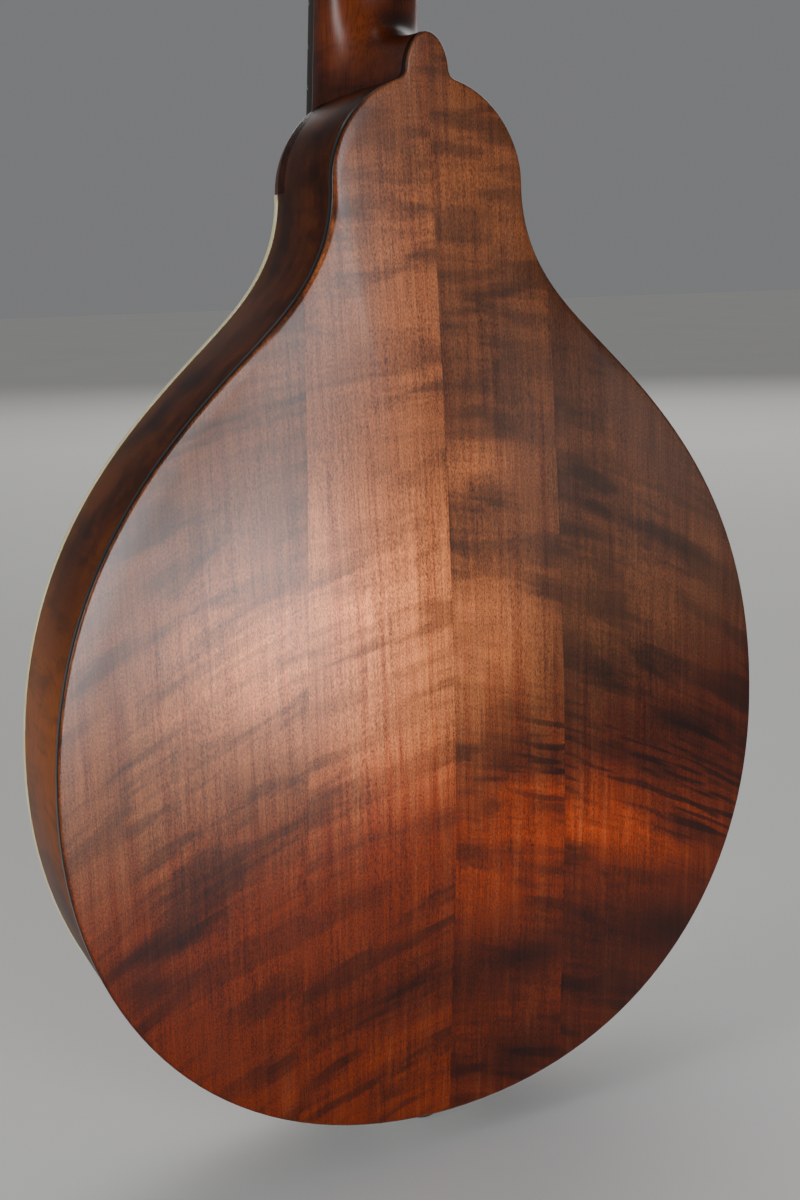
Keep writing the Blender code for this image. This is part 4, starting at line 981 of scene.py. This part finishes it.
def make_nut():
    """The nut, notched for each string."""
    edge = NUT_HALF_WIDTH
    stops = [(-edge, -0.4), (-edge + 0.5 * MM, 0.3)]
    for number, diameter in enumerate(STRING_DIAMETERS, 1):
        x = crossing(number, NUT_COURSE, NUT_PAIR)
        half = diameter / 2 + 0.08 * MM
        lip = half + 0.05 * MM
        stops += [(x - lip, 0.55), (x - half, 0), (x + half, 0), (x + lip, 0.55)]
    stops += [(edge - 0.5 * MM, 0.3), (edge, -0.4)]
    low, front, rear = 0.1 * MM, 0.05 * MM, NUT_THICKNESS - 0.2 * MM
    rings = []
    for x, lift in stops:
        high = NUT_STRING_HEIGHT + lift * MM
        corners = ((low, front), (high, front), (high, front + 1.4 * MM))
        corners += ((high - 0.8 * MM, rear), (low, rear))
        rings.append([Vector((x, y, z)) for y, z in corners])
    piece("nut_bone", loft_mesh(rings), "bone", replaces=["nut"], place=NECK)


def make_riser():
    """The wedge between the soundboard and the fingerboard's overhang."""
    low_z, high_z = 259 * MM, SHOULDER_Z - 0.2 * MM
    half, steps = 14 * MM, 20
    across = [half * (k / 6 - 1) for k in range(13)]
    rings = []
    for i in range(steps + 1):
        z = low_z + (high_z - low_z) * i / steps
        low = [Vector((x, top_y(x, z), z)) for x in across]
        high = [Vector((x, neck_plane_y(z) - 0.05 * MM, z)) for x in reversed(across)]
        rings.append(low + high)
    piece("fingerboard_wedge", loft_mesh(rings), "ebony", replaces=["fingerboard_riser"])


# ---------------------------------------------------------------- tuning machines


PLATE_LOW = -HEAD_THICKNESS - GAP - PLATE_THICKNESS
GEAR_Y = PLATE_LOW - GAP - GEAR_THICKNESS / 2


def string_of(side, place):
    """The string on a post. The outer strings go to the posts nearest the nut."""
    return 1 + place if side < 0 else 8 - place


def worm_z(z):
    return z - GEAR_RADIUS - WORM_RADIUS - GAP


def threaded(low, high, core, height, steps, turns):
    """The profile of a threaded rod: its radius rises from the core by the height once a turn."""
    profile = []
    for i in range(steps + 1):
        thread = 0.5 + 0.5 * cos(2 * pi * i / steps * turns)
        profile.append((low + (high - low) * i / steps, core + height * thread))
    return profile


def gear_mesh(middle):
    """A worm wheel: rounded teeth, a dished face and a hub."""
    half = GEAR_THICKNESS / 2

    def ring(y, scale, depth):
        found = []
        for a in around(GEAR_TEETH * 8):
            tooth = 0.5 + 0.5 * cos(GEAR_TEETH * a)
            r = (GEAR_RADIUS - depth * (1 - tooth**0.7)) * scale
            found.append(middle + Vector((r * cos(a), y, r * sin(a))))
        return found

    dish = -half + 0.5 * MM
    face = ((-half, 0.45), (-half, 0.5), (dish, 0.56), (dish, 0.72), (-half, 0.76))
    rings = [ring(y, share, 0) for y, share in face]
    teeth = ((-half, 0.95), (-half + 0.4 * MM, 1), (half - 0.4 * MM, 1), (half, 0.95))
    return loft_mesh(rings + [ring(y, share, GEAR_DEPTH) for y, share in teeth])


def post_mesh(middle):
    """A capstan post: waisted where the string winds, with a cross hole and a domed top."""
    waist = [(VENEER_THICKNESS + y, r) for y, r in mm((2.6, 3), (3.2, 2.5), (7, 2.3), (9, 2.8))]
    head = [(POST_HEIGHT + y, r) for y, r in mm((-1, 2.8), (-0.3, 2.4), (0, 1.5))]
    post = turned_mesh([(PLATE_LOW - GAP, POST_RADIUS), *waist, *head], middle, (0, 1, 0), 28)
    hole = turned_mesh(mm((-6, 0.6), (6, 0.6)), middle + Vector((0, 8.2 * MM, 0)), (1, 0, 0), 12)
    return cut(post, hole)


def winding_points(middle, side, radius, turns):
    """A string's turns round its post, from where it arrives at the post's inner side."""
    reach = POST_WAIST + radius
    steps = turns * 20
    start = pi if side > 0 else 0.0
    points = []
    for i in range(steps + 1):
        a = start + side * 2 * pi * turns * i / steps
        y = WINDING_Y - i / steps * turns * 2.05 * radius
        points.append(middle + Vector((reach * cos(a), y, reach * sin(a))))
    return points


def make_tuner(side, place):
    number = string_of(side, place)
    middle = Vector((POST_X * side, 0, POST_Z[place]))
    body = f"tuner_post_{number}"
    gear = gear_mesh(middle + Vector((0, GEAR_Y, 0)))
    piece(f"tuner_gear_{number}", gear, "brass", body, place=HEAD)
    piece(f"{body}_capstan", post_mesh(middle), "nickel", body, [body], place=HEAD)
    screw = screw_mesh(middle + Vector((0, GEAR_Y - GEAR_THICKNESS / 2, 0)), 1.9 * MM, -1)
    piece(f"tuner_gear_screw_{number}", screw, "nickel", body, place=HEAD)
    radius = STRING_DIAMETERS[number - 1] / 2
    points = winding_points(middle, side, radius, 4 if number in (1, 2, 7, 8) else 3)
    wire = "steel" if number <= 4 else "wound"
    piece(f"string_winding_{number}", tube_mesh(points, radius, 8), wire, body, place=HEAD)
    collar = mm((0, 5), (0.4, 5.1), (0.9, 4.7), (1.3, 3.9), (1.3, 3.2))
    bushing = turned_mesh(collar, middle + Vector((0, FACE_Y, 0)), (0, 1, 0), 32)
    piece(f"post_bushing_{number}", bushing, "nickel", place=HEAD)
    make_key(side, POST_Z[place], number)


def make_key(side, z, number):
    """A worm on its shaft, and the button at its outer end."""
    middle = Vector((POST_X * side, GEAR_Y, worm_z(z)))
    out = Vector((side, 0, 0))
    body = f"tuner_key_{number}"
    core = 1.45 * MM
    profile = [(-7.5 * MM, 0.9 * MM), (-7.3 * MM, SHAFT_RADIUS), (-5 * MM, SHAFT_RADIUS), (-5 * MM, core)]
    profile += threaded(-4.6 * MM, 4.6 * MM, core, WORM_RADIUS - core, 46, 6)
    profile += [(5 * MM, core), (5 * MM, SHAFT_RADIUS), (16 * MM, SHAFT_RADIUS)]
    profile += mm((16.3, 2), (17.4, 2.1), (17.8, 1.7), (19.4, 1.9), (21, 2.3), (21.4, 1.6))
    piece(f"{body}_worm", turned_mesh(profile, middle, out, 20), "nickel", body, place=HEAD)
    start, end = 20.8 * MM, 33.5 * MM
    rings = []
    for step, a in enumerate(sweep(pi, 16)):
        along = (start + end) / 2 - (end - start) / 2 * cos(a)
        swell = max(sin(a), 0.02) ** 0.55
        shape = 1 + 0.12 * sin(a) * (1 if step > 8 else -0.4)
        tall, thick = 7.4 * MM * swell * shape / 1.12, 3.1 * MM * swell
        ring = [Vector((0, thick * rounder(sin(t), 0.8), tall * rounder(cos(t), 0.8))) for t in around(32)]
        rings.append([middle + out * along + p for p in ring])
    piece(f"{body}_button", loft_mesh(rings), "pearloid", body, [body], place=HEAD)


def make_tuners():
    bottom, top, half = POST_Z[0] - 16 * MM, POST_Z[-1] + 9 * MM, 7 * MM
    for side, word in SIDES:
        x = POST_X * side
        outline = rounded_strip(x, half, bottom, top)
        base = prism_mesh(outline, PLATE_LOW, -HEAD_THICKNESS - GLUE_LINE, bevel=0.25 * MM)
        ears = [ear_mesh(x + near, worm_z(z)) for z in POST_Z for near in (-5.9 * MM, 5.9 * MM)]
        places = (bottom + 3 * MM, (POST_Z[1] + POST_Z[2]) / 2 - 1.9 * MM, top - 2.1 * MM)
        screws = [screw_mesh(Vector((x, PLATE_LOW, z)), PLATE_SCREW_RADIUS, -1) for z in places]
        node = f"tuner_plate_{word}"
        piece(f"{node}_strip", joined(base, *ears), "nickel", replaces=[node], place=HEAD)
        piece(f"{node}_screws", joined(*screws), "nickel", place=HEAD)
        for place in range(len(POST_Z)):
            make_tuner(side, place)


def rounded_strip(x, half, low, high):
    """A long strip's outline with rounded corners."""
    radius = 3 * MM
    corners = ((half, high, 0), (-half, high, 90), (-half, low, 180), (half, low, 270))
    outline = []
    for cx, cz, first in corners:
        centre = Vector((x + cx - copysign(radius, cx), cz - (radius if cz == high else -radius)))
        for degrees in range(0, 91, 15):
            angle = radians(degrees) + radians(first)
            outline.append(centre + Vector((cos(angle), sin(angle))) * radius)
    return outline


def ear_mesh(x, z):
    """A bearing lug for the worm's shaft: a rounded tab standing on the plate."""
    reach, half = 2.5 * MM, 0.65 * MM
    tab = [(GEAR_Y - reach * sin(a), z + reach * cos(a)) for a in sweep(pi, 12)]
    tab += [(PLATE_LOW + 0.2 * MM, z - reach), (PLATE_LOW + 0.2 * MM, z + reach)]
    return loft_mesh([[Vector((x + w, y, along)) for y, along in tab] for w in (-half, half)])


# ---------------------------------------------------------------- strings, bridge and tailpiece


SADDLE_Z = (NECK @ Vector((0, 0, -SCALE_LENGTH))).z
TAILPIECE_Y = top_y(0, HOOK_Z + 16 * MM) + 3 * MM


def crossing(number, course, pair):
    """A string's x where it crosses the nut or the saddle. Strings 1 to 4 are on the treble side."""
    group, which = divmod(number - 1, 2)
    return (group - 1.5) * course + (which * 2 - 1) * pair


def eased(path):
    """The path with a point just before and after each bend, so that a tube along it bends tightly."""
    points = [path[0]]
    for a, b in zip(path, path[1:]):
        points += [a.lerp(b, 0.02), a.lerp(b, 0.98), b]
    return points


def make_string(number):
    """A string in two lengths that meet over the saddle."""
    side, place = (-1, number - 1) if number <= 4 else (1, 8 - number)
    radius = STRING_DIAMETERS[number - 1] / 2
    hook = Vector(((number - 4.5) * HOOK_SPACING, TAILPIECE_Y + 1.5 * MM, HOOK_Z + 2 * MM))
    saddle_x = crossing(number, SADDLE_COURSE, SADDLE_PAIR)
    saddle = NECK @ Vector((saddle_x, SADDLE_STRING_HEIGHT + radius, -SCALE_LENGTH))
    nut_x = crossing(number, NUT_COURSE, NUT_PAIR)
    nut = NECK @ Vector((nut_x, NUT_STRING_HEIGHT + radius, 0))
    past = NECK @ Vector((nut_x, NUT_STRING_HEIGHT + radius - 0.1 * MM, NUT_THICKNESS * 0.6))
    post = HEAD @ Vector(((POST_X - POST_WAIST - radius) * side, WINDING_Y, POST_Z[place]))
    wire, slot = ("steel", "steel") if number <= 4 else ("wound", "bronze")
    over = saddle.lerp(hook, 0.02)
    lengths = (("wire", [over, saddle, nut, past, post], nut), ("tail", [hook, saddle], hook))
    for word, path, fixed in lengths:
        mesh = tube_mesh(eased(path), radius, 12)
        length = piece(f"string_{number}_{word}", mesh, wire, None, [f"string_{number}"])
        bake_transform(length)
    low = hook - Vector((0, 0.1 * MM, 2.1 * MM))
    loop = [low + Vector((1.4 * MM * cos(a), 0, 2.2 * MM * sin(a))) for a in sweep(2 * pi, 24)]
    piece(f"string_{number}_loop", tube_mesh(loop, max(radius * 0.6, 0.13 * MM), 8), "steel")


def make_bridge_foot():
    crest = top_y(0, SADDLE_Z)
    rings = []
    for i in range(61):
        share = -cos(pi * i / 60)
        x = BRIDGE_HALF.x * share
        low = max(top_y(x, SADDLE_Z - BRIDGE_HALF.y), top_y(x, SADDLE_Z + BRIDGE_HALF.y)) + 0.05 * MM
        low += 0.9 * MM * max(0, 1 - (share / 0.34) ** 2)
        high = crest + (7 - 4.5 * abs(share) ** 2.2) * MM
        half = BRIDGE_HALF.y * (1 - 0.3 * abs(share) ** 3) * (1 - 0.25 * abs(share) ** 30)
        rising = ((high - 1.6 * MM, 0.98), (high - 0.5 * MM, 0.72), (high, 0.4))
        section = [(low, -half), (low, half)] + [(y, half * wide) for y, wide in rising]
        section += [(y, -half * wide) for y, wide in rising[::-1]]
        rings.append([Vector((x, y, SADDLE_Z + z)) for y, z in section])
    piece("bridge_foot", loft_mesh(rings), "ebony", replaces=["bridge_base"])


def make_wheels():
    """The bridge's two threaded posts, each with its thumb wheel."""
    wheel_low, wheel_high = (corner.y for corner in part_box("bridge_wheel_treble"))
    for side, word in SIDES:
        centre = Vector((STUD_X * side, 0, SADDLE_Z))
        name = f"bridge_wheel_{word}"
        wheel = knurled_mesh(centre, wheel_low, wheel_high)
        piece(f"{name}_knurled", wheel, "brass", name, [name], sharp=30)
        low, high = (corner.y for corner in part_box(f"bridge_stud_{word}"))
        stud = turned_mesh(threaded(low, high, 1.2 * MM, 0.18 * MM, 90, 22), centre, (0, 1, 0), 20)
        piece(f"bridge_post_{word}", stud, "brass", replaces=[f"bridge_stud_{word}"])


def knurled_mesh(centre, low, high):
    """A thumb wheel with a ridged rim and softened edges."""
    ridges = 36

    def ring(y, radius, groove):
        radii = [radius - groove * (i % 4 > 1) for i in range(ridges * 4)]
        return [centre + Vector((r * cos(a), y, r * sin(a))) for r, a in zip(radii, around(ridges * 4))]

    edge, bore, groove = 0.3 * MM, 1.5 * MM, 0.22 * MM
    under = ((low, bore, 0), (low, WHEEL_RADIUS - edge, 0), (low + edge, WHEEL_RADIUS, groove))
    over = ((high - edge, WHEEL_RADIUS, groove), (high, WHEEL_RADIUS - edge, 0), (high, bore, 0))
    return loft_mesh([ring(*stop) for stop in under + over])


def make_saddle():
    """The saddle: stepped so that each course plays in tune, and notched for the strings."""
    saddle_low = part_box("bridge_saddle")[0].y
    string_y = (NECK @ Vector((0, SADDLE_STRING_HEIGHT, -SCALE_LENGTH))).y
    half_length, depth = SADDLE_HALF
    shifts = [shift * MM for shift in (0.9, -0.2, 1.0, -0.6)]
    stops = []
    for number, diameter in enumerate(STRING_DIAMETERS, 1):
        x = crossing(number, SADDLE_COURSE, SADDLE_PAIR)
        half = diameter / 2 + 0.1 * MM
        lip = half + 0.1 * MM
        shift = shifts[(number - 1) // 2]
        notch = ((-lip, 0.3), (-half, 0), (half, 0), (lip, 0.3))
        stops += [(x + across, lift, shift) for across, lift in notch]
    for group, shift in enumerate(shifts):
        x = (group - 1.5) * SADDLE_COURSE
        stops += [(x - 5.4 * MM, 0.3, shift), (x + 5.4 * MM, 0.3, shift)]
    for share, lift in ((1, -0.8), (0.97, 0.0), (0.75, 0.25), (0.7, 0.3)):
        stops += [(-half_length * share, lift, 0.0), (half_length * share, lift, 0.0)]
    peak = 0.55 * MM
    rings = []
    for x, lift, shift in sorted(stops):
        low = saddle_low + 2.25 * MM * max(0, (abs(x) / half_length - 0.8) / 0.2) ** 1.5
        high = string_y + (lift - 0.05) * MM
        section = ((low, -depth), (low, depth), (low + 4 * MM, depth))
        section += ((high, shift + peak), (high, shift - peak), (low + 4 * MM, -depth))
        rings.append([Vector((x, y, SADDLE_Z + z)) for y, z in section])
    piece("bridge_saddle_bar", loft_mesh(rings), "ebony", "bridge_saddle", ["bridge_saddle"])


def make_tailpiece():
    """The bent plate with its hooks and screws."""
    face, inside = TAILPIECE_Y, TAILPIECE_Y - 1.2 * MM
    under, over = TAILPIECE_HEEL_Z, TAILPIECE_HEEL_Z + 1.2 * MM
    foot, tip, bend = -16 * MM, HOOK_Z + 14 * MM, 1 * MM
    section = [(foot, under), (face - bend, under), (face, under + bend), (face, tip)]
    section += [(inside, tip), (inside, over + bend), (inside - bend, over), (foot, over)]
    base = loft_mesh([[Vector((x, y, z)) for y, z in section] for x in (-TAILPIECE_HALF, TAILPIECE_HALF)])
    base = cut(base, turned_mesh(mm((0, 3.5), (30, 3.5)), (0, 0, -5 * MM)))
    piece("tailpiece_plate", base, "nickel", replaces=["tailpiece_base"], bevel=0.2 * MM)
    hooks = []
    for number in range(1, 9):
        x = (number - 4.5) * HOOK_SPACING
        bends = mm((-0.4, -1), (2, -1), (2.5, -1.6), (2.5, -3.4))
        hooks.append(tube_mesh([Vector((x, face + y, HOOK_Z + z)) for y, z in bends], 0.7 * MM, 12))
    piece("tailpiece_hooks", joined(*hooks), "nickel")
    screws = []
    for x, y in mm((-12, -9), (12, -9), (0, 14)):
        screw = screw_mesh(Vector((0, 0, 0)), 2 * MM)
        screw.transform(Matrix.Translation((x, y, TAILPIECE_HEEL_Z)) @ Matrix.Rotation(-pi / 2, 4, "X"))
        screws.append(screw)
    piece("tailpiece_screws", joined(*screws), "nickel")


def make_end_pin():
    profile = mm((0, 1), (0, 3), (0, 5.5), (0.3, 6.1), (1, 6.5), (2.6, 6.5), (3.4, 6.1), (4.4, 4.8))
    profile += mm((5.4, 4.1), (7, 3.9), (8.4, 4.3))
    stop = TAILPIECE_HEEL_Z - GLUE_LINE
    profile += [(stop, 5.4 * MM), (stop, 3 * MM), (30 * MM, 3 * MM)]
    piece("end_pin_turned", turned_mesh(profile, sides=48), "black", replaces=["end_pin"])


def make_cover():
    """The tailpiece's slide-on cover: a pressed shell with a raised panel and rolled edges."""
    half, face, wall = TAILPIECE_HALF, TAILPIECE_Y, 0.8 * MM
    low, high = face + GAP, face + 11 * MM
    low_z, high_z = TAILPIECE_HEEL_Z - 1 * MM, HOOK_Z + 26 * MM
    middle = (low_z + high_z) / 2
    profile = [(0, 0), (0, 5)]
    profile += [(7 * (1 - cos(a)), 5 + 5 * sin(a)) for a in (radians(d) for d in range(10, 91, 10))]
    profile += [(8.2, 10.05), (8.8, 10.6), (9.6, 10.85), (12, 11)]

    def ring(inwards, y, shrink):
        half_x = half + 2.6 * MM - inwards - shrink
        half_z = (high_z - low_z) / 2 - inwards * 0.6 - shrink
        corners = [(rounder(cos(a), 0.4), rounder(sin(a), 0.4)) for a in around(120)]
        return [Vector((x * half_x, y, middle + z * half_z)) for x, z in corners]

    def shell(shrink):
        rings = []
        for inwards, lift in profile:
            rings.append(ring(inwards * MM, low + lift / 11 * (high - low) - shrink, shrink))
        return rings + [[p.lerp(Vector((0, p.y, middle)), 0.4) for p in rings[-1]]]

    outside = loft_mesh(shell(0), end=Vector((0, high, middle)))
    inner = shell(wall)
    inner[0] = [p - Vector((0, 4 * MM, 0)) for p in inner[0]]
    hollow = loft_mesh(inner, end=Vector((0, high - wall, middle)))
    gate = box_mesh((-half, low - 5 * MM, high_z - 8 * MM), (half, low + 7.6 * MM, high_z + 5 * MM))
    mesh = cut(outside, hollow, gate)
    piece("tailpiece_cover_shell", mesh, "nickel", "tailpiece_cover", ["tailpiece_cover"], sharp=40)


# ---------------------------------------------------------------- inner nodes, stage and camera


def finish_kept_nodes():
    """The inner pieces keep their CAD shape and take a real finish."""
    linings = [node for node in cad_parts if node.startswith("lining_")]
    for node in (*linings, "neck_block", "tail_block", "soundhole_brace", "truss_rod"):
        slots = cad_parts[node].data.materials
        slots.clear()
        slots.append(FINISHES["steel" if node == "truss_rod" else "bare"])


def back_finishes():
    """One finish for each board of the back, because each is its own piece of wood with its own tone. A row
    is the seed of its figure, its base brightness, its clouds of paler stain and painted light, and its
    painted shadows."""
    # Painted shadows: foot darkens the foot of every board, and tail_shadow the tail of the centre boards.
    foot = (0, 62, 110, 26, 0, 0.3)
    tail_shadow = (-18, 64, 62, 11, 0.1, 0.4)
    boards = {
        "wing_treble": (
            11.0,
            0.1,
            ((-58, 184, 30, 26, 0, 0.4), (-112, 155, 22, 30, 0, 0.05)),
            (foot, (-98, 96, 22, 5, 0.22, 0.7), (-103, 83, 12, 6, 0.1, 0.7)),
        ),
        "centre_treble": (
            23.0,
            0.095,
            ((-32, 196, 42, 36, 0, 0.42), (-12, 288, 40, 42, 0, 0.1), (-20, 150, 30, 22, 0, 0.17)),
            (foot, tail_shadow),
        ),
        "centre_bass": (
            37.0,
            0.076,
            (
                (8, 236, 16, 8, 0, 0.13),
                (10, 325, 30, 30, 0, 0.045),
                (8, 181, 21, 24, 0, 0.22),
                (20, 108, 40, 24, 0, 0.07),
            ),
            (foot, tail_shadow, (30, 62, 22, 9, 0, 0.5), (28, 27, 24, 14, 0, 0.7)),
        ),
        "wing_bass": (
            51.0,
            0.043,
            ((62, 110, 36, 13, -0.25, 0.13), (80, 90, 50, 18, -0.2, 0.04), (75, 192, 40, 20, 0, 0.03)),
            (foot, (94, 138, 17, 7, -0.3, 0.75), (92, 60, 24, 10, -0.3, 0.6)),
        ),
    }
    made = {}
    for word, row in boards.items():
        made[f"back_{word}"] = figured_maple("back " + word.replace("_", ", "), *row)
    return made


def make_finishes():
    ribs = ("stained maple ribs", (0.03, 0.004, 0.001), (0.3, 0.07, 0.004), 0.42, 0.14)
    neck = ("stained maple neck", (0.06, 0.01, 0.003), (0.17, 0.032, 0.006), 0.27)
    return {
        **back_finishes(),
        # The ribs' lit patch is painted light on the treble side.
        "rib": stained_maple(*ribs, lit_patch=(-120, 160, 34, 40)),
        # The neck's shade is painted shade at the heel.
        "neck": stained_maple(*neck, shade=(6, 372, 12, 14)),
        "top": stained_spruce("stained spruce"),
        "bare": bare_wood("bare spruce and basswood"),
        "binding": celluloid("cream binding", (0.86, 0.79, 0.5), (0.76, 0.68, 0.38)),
        "rosette_pale": celluloid("cream rosette lines", (0.7, 0.64, 0.44), (0.58, 0.5, 0.3)),
        "rosette_black": gloss_black("black rosette lines", 0.3),
        "ebony": ebony("ebony"),
        "veneer": gloss_black("black headstock veneer", 0.22),
        "black": gloss_black("polished black"),
        "bone": bone("bone"),
        "nickel": metal("nickel plate", (0.78, 0.76, 0.72), (0.62, 0.6, 0.55), 0.14),
        "brass": metal("brass", (0.78, 0.56, 0.26), (0.55, 0.37, 0.16), 0.24),
        "steel": metal("steel", (0.72, 0.72, 0.72), (0.55, 0.55, 0.54), 0.2),
        "wound": wound_metal("bronze winding"),
        "pearloid": pearloid("pearloid"),
        "pearl": pearloid("pearl dots"),
    }


def area_light(name, place, target, size, power, spread=180, tint=(1, 1, 1)):
    data = bpy.data.lights.new(name, "AREA")
    data.shape = "RECTANGLE"
    data.size, data.size_y = size
    data.energy = power
    data.color = tint
    data.spread = radians(spread)
    light = linked(name, data)
    light.location = place
    light.rotation_euler = (Vector(target) - Vector(place)).to_track_quat("-Z", "Y").to_euler()
    light.visible_camera = False


def make_stage():
    """A pale floor, soft boxes and a dim pale surround."""
    mesh = mesh_from(lambda bm: bmesh.ops.create_grid(bm, x_segments=1, y_segments=1, size=12))
    f = Finish("pale floor", roughness=0.85)
    mottle = f.stretched(400.0, 400.0, 400.0, detail=4.0)
    mesh.materials.append(f.color(f.mix(mottle, (0.62, 0.61, 0.59), (0.68, 0.67, 0.65))).material)
    floor = linked("floor", mesh)
    floor.location.z = -0.0002
    world = bpy.data.worlds.new("studio")
    bpy.context.scene.world = world
    world.use_nodes = True
    background = world.node_tree.nodes["Background"]
    background.inputs["Color"].default_value = (0.97, 0.98, 1, 1)
    background.inputs["Strength"].default_value = 0.2
    middle, cool = (0, 0, 0.2), (0.9, 0.95, 1)
    area_light("key, behind the back", (-0.085, -0.78, 0.1), (0, 0, 0.16), (0.32, 0.2), 1.2, 80, cool)
    area_light("low right", (0.75, -0.85, 0.2), middle, (0.3, 0.35), 0.085, 60)
    area_light("upper key", (0.06, -1.05, 0.46), (0, 0, 0.3), (0.36, 0.26), 0.58, 60, cool)
    area_light("side", (-1.3, -0.1, 0.5), middle, (0.3, 0.5), 0.7, 60)
    area_light("front fill", (1.4, 2.0, 1.9), middle, (3.0, 2.4), 36)
    sky = bpy.data.lights.new("overhead", "SUN")
    sky.energy = 0.4
    sky.angle = radians(40)
    linked("overhead", sky).rotation_euler = (radians(-14), 0, 0)


def make_camera():
    data = bpy.data.cameras.new("camera")
    data.sensor_width = 36
    data.lens = 45.32
    data.clip_start = 0.01
    camera = linked("camera", data)
    forward = Vector((0.4228, 0.8808, -0.2132)).normalized()
    right = forward.cross(Vector((0.1161, 0.1807, 0.9767))).normalized()
    up = right.cross(forward)
    turn = Matrix((right, up, -forward)).transposed().to_4x4()
    camera.matrix_world = Matrix.Translation((-0.2171, -0.4470, 0.2980)) @ turn
    bpy.context.scene.camera = camera


FINISHES = make_finishes()
make_camera()
make_stage()
make_back()
make_rim()
make_top()
make_neck()
make_rod_cover()
make_fingerboard()
make_nut()
make_riser()
make_tuners()
for number in range(1, 9):
    make_string(number)
make_bridge_foot()
make_saddle()
make_wheels()
make_tailpiece()
make_cover()
make_end_pin()
finish_kept_nodes()
